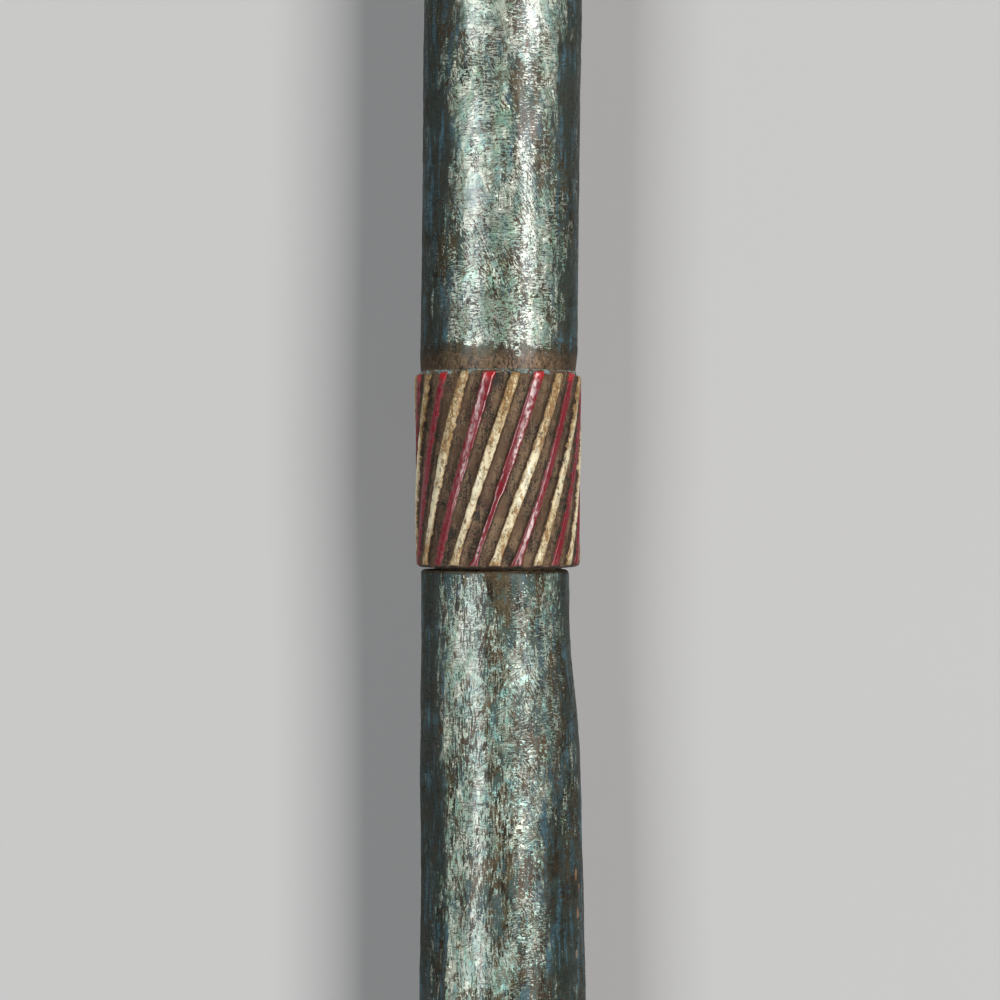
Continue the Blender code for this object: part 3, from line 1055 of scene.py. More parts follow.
@dataclass(frozen=True)
class Finial:
    """The top piece: a ridged collar, a short neck with a bead, a cup and a plain egg-shaped knop."""

    line: StaffLine
    collar: RidgedCollar
    seed: int = 37
    neck: SmoothCurve = SmoothCurve(
        ((0.3 * MM, 17.6 * MM), (5 * MM, 15.6 * MM), (10 * MM, 14.4 * MM), (15.7 * MM, 14.6 * MM))
    )
    cup: SmoothCurve = SmoothCurve(
        ((21.4 * MM, 15.3 * MM), (23 * MM, 14.8 * MM), (28 * MM, 16.8 * MM), (32.5 * MM, 18.4 * MM),
         (36.6 * MM, 21.0 * MM))
    )
    neck_rings: Pair = (0.4 * MM, 15.5 * MM)
    cup_rings: Pair = (21.5 * MM, 36.4 * MM)
    bead: Moulding = Moulding(18.5 * MM, 15.6 * MM, 2.7 * MM, -84, 84)
    lip: Moulding = Moulding(39 * MM, 21.0 * MM, 2.6 * MM, -62, 88)
    knop_height: float = 60 * MM
    knop_radius: float = 25.9 * MM
    knop_below: float = 26 * MM
    knop_above: float = 44 * MM
    uneven: float = 0.1 * MM
    moulding_uneven: float = 0.06 * MM
    knop_uneven: float = 0.12 * MM
    tool_marks: float = 0.02 * MM

    def turned(self, heights: Array, radii: Array, angles: Array, finish: Finish, uneven: Number,
               **marks: Number) -> Band:
        """A stretch above the collar, a little uneven from the knife.

        Args:
            heights: Height of each ring above the collar.
            radii: Radius of each ring.
            angles: Angle of each column.
            finish: What the stretch wears.
            uneven: Strength of the unevenness.
            **marks: What the paint reads, by name.

        Returns:
            The stretch.
        """
        along = (self.collar.end + heights)[:, None]
        waves = Waves(self.seed, (3, 14), (8 * MM, 40 * MM), 40).at(angles, along)
        fine = Waves(self.seed + 1, (12, 40), (3 * MM, 9 * MM), 40).at(angles, along)
        radius = radii[:, None] + uneven * (waves - 1.4) + self.tool_marks * fine
        return Band.round(along, radius, angles, finish, rise=0.5, side=side_shade_share(angles[None]), **marks)

    def knop(self, angles: Array) -> Band:
        """The egg: a half ellipse below its widest ring and a longer one above.

        Args:
            angles: Angle of each column.

        Returns:
            The stretch, from the lip to just short of the tip.
        """
        seat = math.asin((self.knop_height - self.lip.height - self.lip.half) / self.knop_below)
        turn = np.linspace(-seat, math.pi / 2, 100)[:-1]
        heights = self.knop_height + np.where(turn < 0, self.knop_below, self.knop_above) * np.sin(turn)
        radii = self.knop_radius * np.cos(turn)
        tip = smooth_step(turn, 0.9, 1.5)
        uneven = self.knop_uneven * (1 - tip[:, None])
        return self.turned(heights, radii, angles, Finish.SHAFT, uneven, bare=0.45 * tip)

    def build(self, materials: Sequence[bpy.types.Material]) -> bpy.types.Object:
        """Make the finial's skin.

        Args:
            materials: One for each Finish, in its order.

        Returns:
            The object.
        """
        angles = self.collar.top_angles()
        neck, cup = np.linspace(*self.neck_rings, 30), np.linspace(*self.cup_rings, 30)
        neck_wear = 1 - smooth_step(neck, 1 * MM, 8 * MM)
        bands = [
            *self.collar.bands(),
            self.turned(neck, self.neck.at(neck), angles, Finish.SHAFT, self.uneven, bare=neck_wear),
            self.turned(*self.bead.profile(), angles, Finish.RIDGES, self.moulding_uneven, stripe=1.0),
            self.turned(cup, self.cup.at(cup), angles, Finish.SHAFT, self.uneven),
            self.turned(*self.lip.profile(), angles, Finish.RIDGES, self.moulding_uneven, stripe=-1.0),
            self.knop(angles),
        ]
        return Skin("finial_wood", self.line, strips=1, bands=bands).build(materials)


# ---------------------------------------------------------------- shader nodes


@dataclass(frozen=True)
class Wire:
    """An output of a node. Sums with number wires and plain numbers add the nodes that work them out."""

    graph: Graph
    socket: bpy.types.NodeSocket

    def __add__(self, other: Value) -> Wire:
        """This number plus another."""
        return self.graph.calc("ADD", self, other)

    def __sub__(self, other: Value) -> Wire:
        """This number minus another."""
        return self.graph.calc("SUBTRACT", self, other)

    def __rsub__(self, other: Value) -> Wire:
        """Another number minus this one."""
        return self.graph.calc("SUBTRACT", other, self)

    def __mul__(self, other: Value) -> Wire:
        """This number times another."""
        return self.graph.calc("MULTIPLY", self, other)

    def __abs__(self) -> Wire:
        """This number without its sign."""
        return self.graph.calc("ABSOLUTE", self)

    __radd__ = __add__
    __rmul__ = __mul__

    def most(self, other: Value) -> Wire:
        """The larger of this number and another."""
        return self.graph.calc("MAXIMUM", self, other)

    def least(self, other: Value) -> Wire:
        """The smaller of this number and another."""
        return self.graph.calc("MINIMUM", self, other)

    def sine(self) -> Wire:
        """Sine of this number."""
        return self.graph.calc("SINE", self)

    def clipped(self) -> Wire:
        """This number, held between 0 and 1."""
        return self.most(0.0).least(1.0)

    def step(self, low: Value, high: Value) -> Wire:
        """Smooth rise from 0 to 1 as this number passes from low to high."""
        inputs = {"Value": self, "From Min": low, "From Max": high}
        return self.graph.wire("MapRange", "Result", inputs, interpolation_type="SMOOTHSTEP")

    def mix(self, first: Value, second: Value) -> Wire:
        """The first colour where this share is 0 and the second where it is 1."""
        return self.graph.wire("Mix", 2, {0: self, 6: first, 7: second}, data_type="RGBA")

    def lerp(self, first: Value, second: Value) -> Wire:
        """The first number where this share is 0 and the second where it is 1."""
        return self.graph.wire("Mix", 0, {0: self, 2: first, 3: second}, data_type="FLOAT")

    def turned(self, angle: Value) -> Wire:
        """This place turned by an angle about the upward line."""
        inputs = {"Vector": self, "Axis": (0.0, 0.0, 1.0), "Angle": angle}
        return self.graph.wire("VectorRotate", 0, inputs, rotation_type="AXIS_ANGLE")

    def scaled(self, scale: Value) -> Wire:
        """This place times a number."""
        return self.graph.wire("VectorMath", 0, {0: self, "Scale": scale}, operation="SCALE")

    def length(self) -> Wire:
        """How far this place is from the frame's origin."""
        return self.graph.wire("VectorMath", "Value", {0: self}, operation="LENGTH")

    def noise(self, across: float, along: float, detail: float = 3.0, roughness: float = 0.55) -> Wire:
        """Cloudy noise at this place.

        Args:
            across: Features per millimetre sideways and upward.
            along: Features per millimetre along the staff.
            detail: How many finer layers it has.
            roughness: How strong they are.

        Returns:
            The noise's value, about 0.5.
        """
        inputs = {0: self, 1: (across, along, across)}
        stretched = self.graph.wire("VectorMath", 0, inputs, operation="MULTIPLY")
        inputs = {"Vector": stretched, "Scale": 1.0, "Detail": detail, "Roughness": roughness}
        return self.graph.wire("TexNoise", "Fac", inputs, noise_dimensions="3D")


Value = Wire | float | tuple[float, ...]


class Graph:
    """The nodes of one material or group, added and wired by short calls."""

    def __init__(self, tree: bpy.types.NodeTree) -> None:
        """Take over a node tree and empty it."""
        self.tree = tree
        tree.nodes.clear()

    def node(self, kind: str, inputs: dict[str | int, Value], **settings: object) -> bpy.types.Node:
        """Add a node.

        Args:
            kind: Its type, without the ShaderNode in front.
            inputs: Plain values to set, or wires to lead in, by input name or number.
            **settings: The node's own settings.

        Returns:
            The new node.
        """
        made = self.tree.nodes.new(f"ShaderNode{kind}")
        for name, setting in settings.items():
            setattr(made, name, setting)
        for key, value in inputs.items():
            if isinstance(value, Wire):
                self.tree.links.new(value.socket, made.inputs[key])
            else:
                made.inputs[key].default_value = value
        return made

    def wire(self, kind: str, output: str | int, inputs: dict[str | int, Value], **settings: object) -> Wire:
        """Add a node as node() does, and take one of its outputs, by name or number."""
        return Wire(self, self.node(kind, inputs, **settings).outputs[output])

    def calc(self, operation: str, *values: Value) -> Wire:
        """Result of a sum on numbers, such as ADD or MULTIPLY."""
        return self.wire("Math", 0, dict(enumerate(values)), operation=operation)

    def place(self) -> Wire:
        """Object coordinates in millimetres."""
        return self.wire("TexCoord", "Object", {}).scaled(1 / MM)

    def marks(self, *names: str) -> list[Wire]:
        """Marks that the mesh carries, by name."""
        return [self.wire("Attribute", "Fac", {}, attribute_name=name) for name in names]

    def use(self, group: bpy.types.NodeTree, **inputs: Value) -> dict[str, Wire]:
        """Place a node group with its own values here, by name, and give its outputs by name."""
        made = self.node("Group", inputs, node_tree=group)
        return {socket.name: Wire(self, socket) for socket in made.outputs}

    def surface(self, shader: str, output: str, inputs: dict[str | int, Value]) -> None:
        """End the graph with a shader of one type and an output node of another."""
        self.node(output, {"Surface": self.wire(shader, 0, inputs)})


def new_group(name: str, effect: Callable[..., dict[str, Wire]],
              **inputs: float | Colour | None) -> bpy.types.NodeTree:
    """Build a node group.

    Args:
        name: Its name.
        effect: Wires it, given a wire for each input by name in small letters, and returns its outputs.
        **inputs: Plain value of each input: a number, a colour, or None for a place.

    Returns:
        The group.
    """
    tree = bpy.data.node_groups.new(name, "ShaderNodeTree")
    for label, value in inputs.items():
        kind = "Vector" if value is None else "Float" if isinstance(value, float) else "Color"
        socket = tree.interface.new_socket(label, in_out="INPUT", socket_type=f"NodeSocket{kind}")
        if value is not None:
            socket.default_value = value
    graph = Graph(tree)
    source = tree.nodes.new("NodeGroupInput")
    results = effect(**{label.lower(): Wire(graph, source.outputs[label]) for label in inputs})
    for label, result in results.items():
        kind = "Color" if result.socket.type == "RGBA" else "Float"
        tree.interface.new_socket(label, in_out="OUTPUT", socket_type=f"NodeSocket{kind}")
    sink = tree.nodes.new("NodeGroupOutput")
    for label, result in results.items():
        tree.links.new(result.socket, sink.inputs[label])
    return tree


def worn_wood(place: Wire, dark: Wire, pale: Wire, stain: Wire) -> dict[str, Wire]:
    """Old brown wood under lost paint: long grain, dark dirt, and olive and reddish stains.

    Args:
        place: Place in millimetres.
        dark: Colour of the dirt.
        pale: Colour of the clean wood.
        stain: Colour of the stains.

    Returns:
        Colour, and height from 0 to 1.
    """
    height = 0.4 * place.noise(2.2, 0.12, 5, 0.6) + 0.6 * place.noise(3.2, 2.2, 2, 0.7)
    tone = height + 0.6 * (place.noise(0.35, 0.18, 4, 0.6) - 0.5)
    colour = tone.step(0.42, 0.57).mix(dark, pale)
    colour = place.noise(0.22, 0.12, 3, 0.5).step(0.5, 0.68).mix(colour, stain)
    return {"Color": colour, "Height": height}


def scratches(place: Wire, turn: Wire, cover: Wire, fineness: Wire) -> dict[str, Wire]:
    """Fine scratches in one direction: the thin level lines of a noise stretched along it, here and there.

    Args:
        place: Place in millimetres.
        turn: Angle of the scratches.
        cover: Share of the surface where they show.
        fineness: How much finer than usual they are.

    Returns:
        Mask of the scratches.
    """
    turned = place.turned(turn)
    lines = turned.scaled(fineness).noise(0.2, 2.6, 1, 0.5)
    thin = 1 - abs(lines - 0.5).step(0.012, 0.036)
    here = turned.noise(0.12, 0.3, 2, 0.5).step(1 - cover, 1.12 - cover)
    return {"Mask": thin * here}


def strokes(place: Wire, grain: Wire) -> dict[str, Wire]:
    """Short strokes of brush and knife: level in places, slanted in others, and lengthwise along the grain.

    Args:
        place: Place in millimetres.
        grain: Where the strokes run lengthwise.

    Returns:
        Height of the strokes, from 0 to 1.
    """
    level, lengthwise = place.noise(0.9, 3.2, 1, 0.6), place.noise(2.8, 0.48, 1, 0.6)
    slanted = place.turned(-0.6).noise(3.0, 0.85, 1, 0.6)
    crosswise = place.noise(0.10, 0.06, 2).step(0.46, 0.56).lerp(level, slanted)
    along = (0.6 * grain + place.noise(0.13, 0.05, 2)).step(0.56, 0.68)
    return {"Strokes": along.lerp(crosswise, lengthwise)}


def worn_film(place: Wire, strokes: Wire, wear: Wire) -> dict[str, Wire]:
    """Where a paint film is left: cloudy patches, broken by streaks along the wood, strokes and specks.

    Args:
        place: Place in millimetres.
        strokes: Height of the strokes.
        wear: Where more of the film has gone.

    Returns:
        Mask of the film.
    """
    broad = 0.34 * place.noise(0.14, 0.045, 4, 0.55) + 0.13 * place.noise(0.85, 0.20, 4, 0.6)
    small = 0.10 * place.noise(2.1, 1.7, 1, 0.7) + 0.15 * place.noise(4.2, 3.2, 1, 0.7)
    left = broad + small + 0.28 * strokes - 0.22 * wear
    return {"Film": left.step(0.471, 0.493)}


@dataclass(frozen=True)
class Groups:
    """The shader effects that the finishes are put together from, each built once."""

    wood: bpy.types.NodeTree
    scratches: bpy.types.NodeTree
    strokes: bpy.types.NodeTree
    film: bpy.types.NodeTree

    @classmethod
    def make(cls) -> Groups:
        """Build each group."""
        return cls(
            new_group("worn wood", worn_wood, Place=None, Dark=(0.017, 0.013, 0.008, 1),
                      Pale=(0.115, 0.090, 0.047, 1), Stain=(0.090, 0.052, 0.026, 1)),
            new_group("scratches", scratches, Place=None, Turn=0.0, Cover=0.5, Fineness=1.0),
            new_group("strokes", strokes, Place=None, Grain=0.0),
            new_group("worn film", worn_film, Place=None, Strokes=0.5, Wear=0.0),
        )


# ---------------------------------------------------------------- finishes


def new_material(name: str) -> tuple[bpy.types.Material, Graph]:
    """Make an empty node material.

    Args:
        name: Its name.

    Returns:
        The material and its graph.
    """
    material = bpy.data.materials.new(name)
    material.use_nodes = True
    return material, Graph(material.node_tree)


@dataclass(frozen=True)
class Gloss:
    """What is the same all over a finish: its own mirror, the polish on top and the height of its relief."""

    ior: float = 1.5
    polish_ior: float = 1.8
    polish_roughness: float = 0.25
    relief: float = 0.1 * MM

    def surface(self, graph: Graph, colour: Wire, roughness: Wire, height: Wire, metal: Value = 0.0,
                polish: Value = 0.0) -> None:
        """End a material with a bump and the surface shader.

        Args:
            graph: The material's graph.
            colour: Base colour.
            roughness: Roughness.
            height: Height of the relief, as a share of the finish's.
            metal: Share of metallic sheen.
            polish: Share of the smooth polish on top.
        """
        bump = graph.wire("Bump", "Normal", {"Height": height, "Strength": 1.0, "Distance": self.relief})
        inputs = {
            "Base Color": colour,
            "Roughness": roughness,
            "Metallic": metal,
            "IOR": self.ior,
            "Normal": bump,
            "Coat Weight": polish,
            "Coat IOR": self.polish_ior,
            "Coat Roughness": self.polish_roughness,
        }
        graph.surface("BsdfPrincipled", "OutputMaterial", inputs)


@dataclass(frozen=True)
class FineLines:
    """A set of fine lines: the angle they lie at, the share of the surface they cover and their fineness."""

    turn: float
    cover: float
    fineness: float = 1.0

    def mask(self, group: bpy.types.NodeTree, place: Wire) -> Wire:
        """Mask of the lines, by the scratches effect."""
        inputs = {"Place": place, "Turn": self.turn, "Cover": self.cover, "Fineness": self.fineness}
        return place.graph.use(group, **inputs)["Mask"]


@dataclass(frozen=True)
class ShaftPaint:
    """Turquoise enamel, rubbed and scratched through to brown wood and polished by hands."""

    mint: Colour = (0.245, 0.455, 0.32, 1)
    sky: Colour = (0.20, 0.425, 0.40, 1)
    pale: Colour = (0.76, 0.82, 0.69, 1)
    lines: Colour = (0.80, 0.84, 0.68, 1)
    grime: Colour = (0.17, 0.13, 0.07, 1)
    old_paint: Colour = (0.062, 0.108, 0.097, 1)
    # Painted shade: the dark teal that the sides' paint darkens to.
    side_shade_teal: Colour = (0.029, 0.041, 0.036, 1)
    blue: Colour = (0.055, 0.120, 0.150, 1)
    bare_wood: Colour = (0.24, 0.150, 0.095, 1)
    fresh_wood: Colour = (0.24, 0.14, 0.08, 1)
    # Painted shade: the near-black brown that the sides darken to.
    side_shade_colour: Colour = (0.020, 0.016, 0.011, 1)
    gloss: Gloss = Gloss(ior=1.16, polish_ior=2.35, polish_roughness=0.32, relief=0.23 * MM)
    sheen: float = 0.85
    scratches: tuple[FineLines, ...] = (FineLines(0.06, 0.60), FineLines(-0.55, 0.58), FineLines(1.2, 0.54))
    brush_lines: tuple[FineLines, ...] = (FineLines(-0.04, 0.66, 1.45), FineLines(-0.75, 0.62, 1.35))

    def under(self, place: Wire, wood: Wire, bare: Wire, side: Wire, hue: Wire) -> Wire:
        """Colour of what lies under the film: wood, an older paint in places, and painted shade on the
        sides.

        Args:
            place: Place in millimetres.
            wood: Colour of the worn wood.
            bare: Where the shaft has been rubbed bare.
            side: How far round to the side a point is.
            hue: Noise that picks the older paint's colour.

        Returns:
            The colour.
        """
        fleck = place.noise(2.4, 0.9, 3, 0.7).step(0.42, 0.6)
        wood = (0.85 * fleck * bare.step(0.3, 0.85)).mix(wood, self.bare_wood)
        old = place.noise(0.5, 0.14, 4, 0.65).step(0.47, 0.58) * (0.8 - 0.9 * bare).clipped()
        wood = old.mix(wood, hue.step(0.50, 0.62).mix(self.old_paint, self.blue))
        # Painted shade: towards the sides the colour darkens to a near-black brown.
        return (0.6 * side).mix(wood, self.side_shade_colour)

    def paint(self, place: Wire, raised: Wire, dull: Wire) -> Wire:
        """Colour of the film where it hasn't darkened.

        Args:
            place: Place in millimetres.
            raised: Mask of the raised brush lines.
            dull: Where the paint is dull and darker, partly grime and partly painted shade.

        Returns:
            The colour.
        """
        tint = place.noise(0.6, 0.16, 4, 0.7).step(0.44, 0.56)
        paint = tint.mix(self.mint, self.sky)
        paint = place.noise(0.6, 0.2, 5, 0.65).step(0.43, 0.62).mix(paint, self.pale)
        # Darker teal where the paint is dull: partly grime, partly painted shade.
        paint = (0.6 * dull).mix(paint, self.sky)
        blue_patch = place.noise(0.13, 0.06, 3, 0.6).step(0.62, 0.70)
        paint = (0.7 * blue_patch).mix(paint, self.blue)
        grimy = (place.noise(0.9, 0.45, 4, 0.7) + 0.09 * dull).step(0.55, 0.62)
        paint = (0.7 * grimy).mix(paint, self.grime)
        return (0.6 * raised).mix(paint, self.lines)

    def material(self, groups: Groups) -> bpy.types.Material:
        """Build the finish.

        Args:
            groups: The shared effects.

        Returns:
            The material.
        """
        material, graph = new_material("worn turquoise enamel")
        place = graph.place()
        bare, nick, side, grain, dull = graph.marks("bare", "nick", "side", "grain", "dull")
        hue = place.noise(0.7, 0.09, 3, 0.5)
        under = self.under(place, graph.use(groups.wood, Place=place)["Color"], bare, side, hue)

        # Where the film is left, and what scores it or stands up from it.
        thick = bare.least(0.0)
        bare = (bare + 1.8 * (place.noise(0.40, 0.30, 4, 0.7) - 0.5)).step(0.0, 1.0)
        wear = bare - 0.08 * side + thick + 0.09 * dull
        strokes = graph.use(groups.strokes, Place=place, Grain=grain)["Strokes"]
        scratch, raised = (
            functools.reduce(Wire.most, (lines.mask(groups.scratches, place) for lines in sets))
            for sets in (self.scratches, self.brush_lines)
        )
        film = graph.use(groups.film, Place=place, Strokes=strokes, Wear=wear)["Film"] * (1 - 0.85 * scratch)
        rings = (70.0 * place.noise(0.09, 0.045, 2, 0.5)).sine()
        whorl = rings * place.noise(0.07, 0.05, 2).step(0.46, 0.58)
        raised = raised.most(0.8 * whorl.step(0.55, 0.95))

        # Painted shade on the sides: the paint darkens there, with a frayed edge.
        drift, frayed = place.noise(0.14, 0.05, 3, 0.6), place.noise(1.6, 0.5, 3, 0.7)
        uneven = 2.4 * (drift - 0.5) + 1.5 * (hue - 0.5) + 1.8 * (frayed - 0.5)
        side_shade_mask = (side + uneven * side.step(0.0, 0.3)).step(0.1, 0.75)
        side_shade_paint = hue.step(0.52, 0.64).mix(self.side_shade_teal, self.blue)
        colour = film.mix(under, side_shade_mask.mix(self.paint(place, raised, dull), side_shade_paint))
        colour = nick.step(0.35, 0.6).mix(colour, self.fresh_wood)

        # The film's relief and its shine, polished in patches where hands have touched it.
        pits, dents = place.noise(2.0, 1.7, 1, 0.6), place.noise(0.45, 0.35, 1)
        height = strokes + 0.35 * pits + 0.7 * dents + 0.2 * film
        height = height - 0.5 * scratch + 0.45 * raised + 0.3 * whorl
        touched = place.noise(0.13, 0.05, 3, 0.5)
        roughness = film.lerp(0.5, touched.step(0.35, 0.65).lerp(0.37, 0.28))
        metal = film * side_shade_mask.lerp(self.sheen, 0.1)
        shine = touched.step(0.2, 0.55) * (1 - 0.65 * bare) * (0.28 + 0.72 * film)
        # The shine is also taken off the sides' painted shade and off the dull strip.
        shine = shine * (1 - side) * (1 - 0.6 * side_shade_mask) * (1 - 0.65 * dull)
        self.gloss.surface(graph, colour, roughness, height, metal, shine)
        return material


@dataclass(frozen=True)
class RidgePaint:
    """Cream and glossy red on the crowns of the ridges, and bare dirty wood in the grooves."""

    cream: Colour = (0.48, 0.36, 0.18, 1)
    cream_worn: Colour = (0.58, 0.52, 0.35, 1)
    cream_stain_and_shade: Colour = (0.29, 0.165, 0.06, 1)
    crack: Colour = (0.11, 0.065, 0.028, 1)
    red: Colour = (0.135, 0.004, 0.010, 1)
    red_bright: Colour = (0.30, 0.006, 0.009, 1)
    rubbed: Colour = (0.30, 0.14, 0.16, 1)
    groove: Colour = (0.155, 0.10, 0.056, 1)
    # Dirt and painted shade at the foot of the ridges' walls.
    wall_dirt_and_shade: Colour = (0.022, 0.015, 0.010, 1)
    # Painted shade on the collar's bottom rim.
    rim_shade: Colour = (0.012, 0.008, 0.006, 1)
    rust: Colour = (0.085, 0.036, 0.022, 1)
    ledge: Colour = (0.15, 0.23, 0.23, 1)
    gloss: Gloss = Gloss(ior=1.35, polish_ior=2.0, polish_roughness=0.22, relief=0.14 * MM)

    def grooves(self, place: Wire, wood: Wire, crown: Wire, rise: Wire) -> Wire:
        """Colour of the wood between the ridges.

        Args:
            place: Place in millimetres.
            wood: Colour of the worn wood.
            crown: Height share of the ridge's section.
            rise: Share of the collar's height.

        Returns:
            The wood with dirt and painted shade at the foot of the walls, painted shade on the rim, rust,
            and shaft paint on the ledge.
        """
        # Dirt and painted shade where the grooves meet the ridges' walls.
        wood = (0.65 * crown.step(0.01, 0.2)).mix(wood, self.wall_dirt_and_shade)
        # Painted shade on the collar's bottom rim.
        wood = (0.85 - 0.85 * rise.step(0.004, 0.014)).mix(wood, self.rim_shade)
        rusty = place.noise(0.9, 0.7, 3, 0.6).step(0.52, 0.62)
        wood = (0.6 * rusty).mix(wood, self.rust)
        left_over = rise.step(0.975, 0.99) * place.noise(0.5, 0.5, 4, 0.65).step(0.50, 0.55)
        return left_over.mix(wood, self.ledge)

    def old_cream(self, place: Wire, crown: Wire, rough: Wire) -> tuple[Wire, Wire]:
        """The cream paint, stained and crazed, with painted shade on its flanks.

        Args:
            place: Place in millimetres.
            crown: Height share of the ridge's section.
            rough: Where the paint is rough.

        Returns:
            Its colour, and the mask of its cracks.
        """
        cream = (0.75 * rough).mix(self.cream_worn, self.cream)
        stain = place.noise(0.9, 0.35, 4, 0.7) + 0.1 * rough
        cream = stain.step(0.54, 0.64).mix(cream, self.cream_stain_and_shade)
        line = 1 - abs(place.noise(1.3, 1.0, 4, 0.7) - 0.5).step(0.010, 0.036)
        shown = (place.noise(0.7, 0.5, 2) + 0.2 * rough).step(0.49, 0.58)
        grain = place.noise(3.4, 2.6, 2, 0.7).step(rough.lerp(0.60, 0.53), 0.66)
        crack = (line * shown).most(0.6 * grain)
        cream = (0.85 * crack).mix(cream, self.crack)
        # Painted shade: the cream darkens towards the stain colour on the ridges' flanks.
        flank_shade = 1 - crown.step(0.62, 0.92)
        return (0.6 * flank_shade).mix(cream, self.cream_stain_and_shade), crack

    def old_red(self, place: Wire, rise: Wire) -> Wire:
        """Colour of the red paint: rubbed pink in places, and brighter at the ridges' upper ends."""
        worn = place.noise(0.16, 0.07, 2).step(0.46, 0.6) * place.noise(1.2, 0.8, 3, 0.65).step(0.44, 0.6)
        return rise.step(0.93, 0.98).mix((0.2 * worn).mix(self.red, self.rubbed), self.red_bright)

    def material(self, groups: Groups) -> bpy.types.Material:
        """Build the finish.

        Args:
            groups: The shared effects.

        Returns:
            The material.
        """
        material, graph = new_material("cream and red ridges")
        place = graph.place()
        stripe, rise, side = graph.marks("stripe", "rise", "side")
        crown = abs(stripe)
        is_cream = stripe.step(-0.02, 0.02)
        wood = graph.use(groups.wood, Place=place, Pale=self.groove)["Color"]
        wood = self.grooves(place, wood, crown, rise)

        film = (crown + 1.3 * (place.noise(0.9, 0.6, 3, 0.65) - 0.5)).step(0.46, 0.60)
        flaked = place.noise(1.5, 0.9, 4, 0.65).step(0.60, 0.65)
        film = film * rise.step(0.012, 0.022) * (1 - 0.9 * flaked)
        rough = (abs(rise - 0.40) + 0.9 * (place.noise(0.16, 0.10) - 0.5)).step(0.12, 0.36)
        cream, crack = self.old_cream(place, crown, rough)
        colour = film.mix(wood, is_cream.mix(self.old_red(place, rise), cream))

        # Coarse wood and rough cream, against smooth enamel that is rubbed dull in places and taken off the
        # sides, where the painted side shade keeps them dark.
        coarse = film.lerp(2.2, (rough * is_cream).lerp(0.7, 2.2))
        height = place.noise(1.8, 1.4, 3, 0.65) * coarse + 0.4 * film - 0.35 * crack * is_cream
        roughness = film.lerp(0.5, is_cream.lerp(0.27, 0.42))
        patchy = place.noise(0.9, 0.6, 3, 0.6).step(0.38, 0.52)
        lengths = place.noise(0.22, 0.09, 2).step(0.38, 0.56)
        enamel = film * is_cream.lerp(0.9, rough.lerp(0.5, 0.2)) * patchy * (0.25 + 0.75 * lengths)
        enamel = enamel * crown.step(0.5, 0.7) * (1 - 1.6 * side).clipped()
        self.gloss.surface(graph, colour, roughness, height, polish=enamel)
        return material


@dataclass(frozen=True)
class BareWood:
    """Unpainted dark wood of the tenons and sockets."""

    roughness: float = 0.52
    gloss: Gloss = Gloss(ior=1.45, relief=0.06 * MM)

    def material(self, groups: Groups) -> bpy.types.Material:
        """Build the finish.

        Args:
            groups: The shared effects.

        Returns:
            The material.
        """
        material, graph = new_material("bare wood")
        place = graph.place()
        wood = graph.use(groups.wood, Place=place)
        roughness = self.roughness + 0.2 * place.noise(0.5, 0.1)
        self.gloss.surface(graph, wood["Color"], roughness, wood["Height"])
        return material


# ---------------------------------------------------------------- studio


def grey(level: float) -> Colour:
    """A grey, with its alpha."""
    return (level, level, level, 1.0)


@dataclass(frozen=True)
class Floor:
    """A plain pale floor, which fades far out into the glow of the walls."""

    glow: float
    size: float = 40.0
    drop: float = 0.05 * MM
    colour: Colour = (0.39, 0.39, 0.395, 1)
    darker: float = 0.97
    fade: Pair = (2.0, 6.5)

    def material(self) -> bpy.types.Material:
        """Build the floor's finish.

        Returns:
            The material.
        """
        material, graph = new_material("pale floor")
        place = graph.place()
        darker = (*(self.darker * part for part in self.colour[:3]), 1.0)
        tone = place.noise(0.004, 0.004, 2).mix(darker, self.colour)
        faded = place.length().step(self.fade[0] / MM, self.fade[1] / MM)
        inputs = {
            "Base Color": faded.mix(tone, grey(0.0)),
            "Roughness": 1.0,
            "Specular IOR Level": 0.0,
            "Emission Color": faded.mix(grey(0.0), grey(self.glow)),
            "Emission Strength": 1.0,
        }
        graph.surface("BsdfPrincipled", "OutputMaterial", inputs)
        return material

    def build(self) -> None:
        """Lay the floor a hair under the staff."""
        half = self.size / 2
        mesh = bpy.data.meshes.new("studio_floor")
        corners = [(-half, -half, 0), (half, -half, 0), (half, half, 0), (-half, half, 0)]
        mesh.from_pydata(corners, [], [(0, 1, 2, 3)])
        mesh.materials.append(self.material())
        floor = put("studio_floor", mesh)
        floor.location.z = -self.drop


@dataclass(frozen=True)
class StripLamp:
    """A long soft lamp along the staff, at an angle from straight overhead towards +X."""

    name: str
    angle: float
    power: float
    colour: tuple[float, float, float]
    distance: float = 6.0
    size: Pair = (2.3, 14.0)

    def hang(self, middle: Array) -> None:
        """Hang the lamp, facing a place on the staff.

        Args:
            middle: The place, in the frame.
        """
        light = bpy.data.lights.new(self.name, "AREA")
        light.shape = "RECTANGLE"
        light.size, light.size_y = self.size
        light.energy = self.power
        light.color = self.colour
        lamp = put(self.name, light)
        lamp.location = middle + self.distance * np.array([math.sin(self.angle), 0.0, math.cos(self.angle)])
        lamp.rotation_euler = (0.0, self.angle, 0.0)
        lamp.visible_camera = False


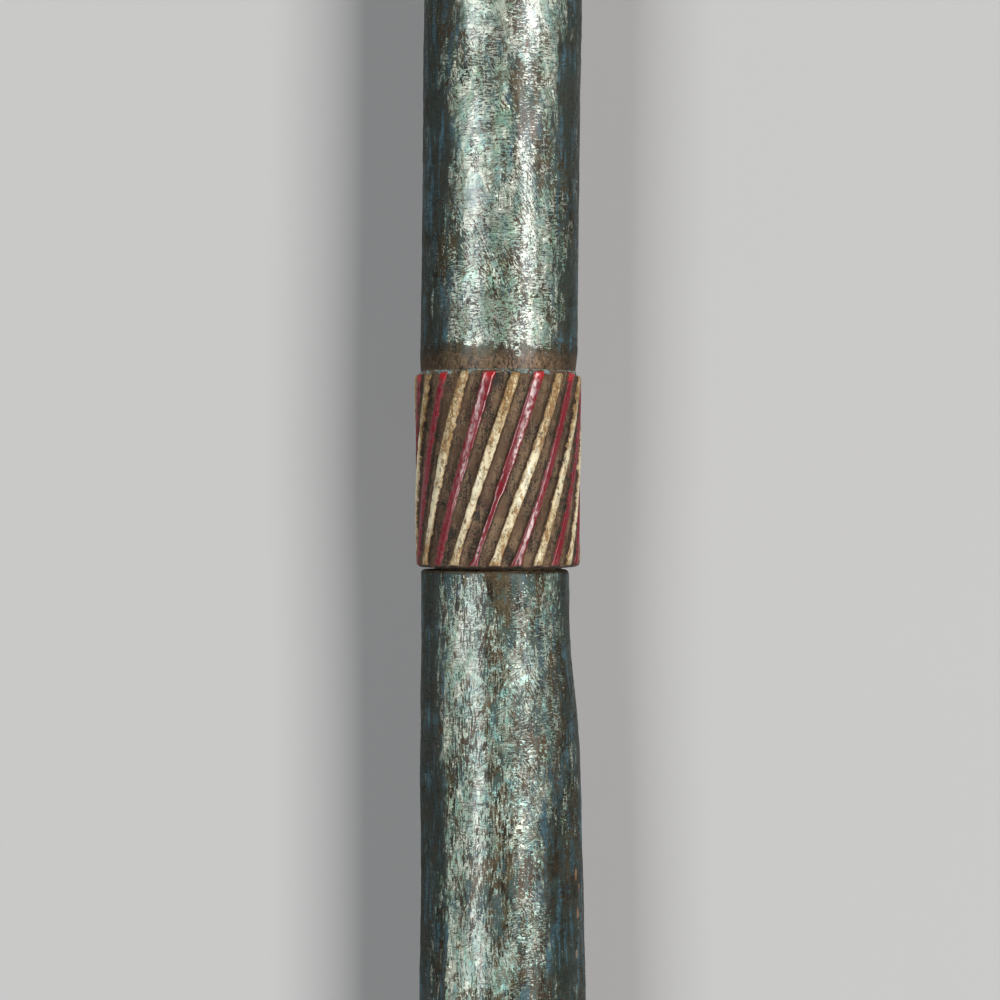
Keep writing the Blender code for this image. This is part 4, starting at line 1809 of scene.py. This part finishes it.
@dataclass(frozen=True)
class Studio:
    """A pale floor, two strip lamps beside the camera, a dim room and the camera itself."""

    line: StaffLine
    joint: float
    lamps: tuple[StripLamp, ...] = (
        StripLamp("left strip", math.radians(-36.5), 412.0, (0.985, 1.0, 1.0)),
        StripLamp("right strip", math.radians(39.5), 765.0, (1.0, 0.98, 0.95)),
    )
    room: float = 0.05
    room_low: float = 0.45
    camera_distance: float = 0.69
    camera_reach: Pair = (0.05, 100.0)
    view_height: float = 0.2293
    above_joint: float = 15.6 * MM
    beside: float = 0.44 * MM
    film_width: float = 36.0

    def set_world(self) -> None:
        """Make the room: dim overhead, and pale low down, where its walls meet the floor."""
        world = bpy.data.worlds.new("room")
        world.use_nodes = True
        graph = Graph(world.node_tree)
        direction = graph.wire("TexCoord", "Generated", {})
        rise = graph.wire("SeparateXYZ", "Z", {0: direction})
        colour = rise.step(0.06, 0.45).mix(grey(self.room_low), grey(self.room))
        graph.surface("Background", "OutputWorld", {"Color": colour})
        bpy.context.scene.world = world

    def set_camera(self) -> None:
        """Look straight down near the joint, with the knop's end up."""
        data = bpy.data.cameras.new("camera")
        data.sensor_width = self.film_width
        data.lens = self.film_width * self.camera_distance / self.view_height
        data.clip_start, data.clip_end = self.camera_reach
        aim = self.line.to_world(np.array([self.beside, self.joint + self.above_joint, 0.0]))
        camera = put("camera", data)
        camera.location = aim + np.array([0.0, 0.0, self.camera_distance])
        bpy.context.scene.camera = camera

    def set_up(self) -> None:
        """Put everything in place."""
        Floor(self.room_low).build()
        middle = self.line.to_world(np.array([0.0, self.joint, 0.0]))
        for lamp in self.lamps:
            lamp.hang(middle)
        self.set_world()
        self.set_camera()
        bpy.context.scene.view_settings.view_transform = "Standard"


def main() -> None:
    """Load the frame, dress each piece and set the studio."""
    logging.basicConfig(level=logging.INFO, format="%(name)s: %(message)s")
    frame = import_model()
    line = StaffLine.from_frame(frame)
    upper_start, upper_end = line.span(frame["nodes"]["upper_section"])
    finial_start, _ = line.span(frame["nodes"]["finial"])

    groups = Groups.make()
    finishes = {Finish.SHAFT: ShaftPaint(), Finish.RIDGES: RidgePaint(), Finish.BARE: BareWood()}
    materials = [finishes[finish].material(groups) for finish in Finish]
    pieces = {
        "lower_section": LowerSection(line, upper_start - SECTION_GAP),
        "upper_section": UpperSection(line, RidgedCollar(upper_start, seed=5), upper_end - Tenon.length),
        "finial": Finial(line, RidgedCollar(finial_start, seed=8)),
    }
    for node, piece in pieces.items():
        obj = piece.build(materials)
        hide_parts(node)
        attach(obj, BODY)
        LOG.info("%s: %d faces", obj.name, len(obj.data.polygons))

    Studio(line, upper_start - SECTION_GAP / 2).set_up()


if __name__ == "__main__":
    main()
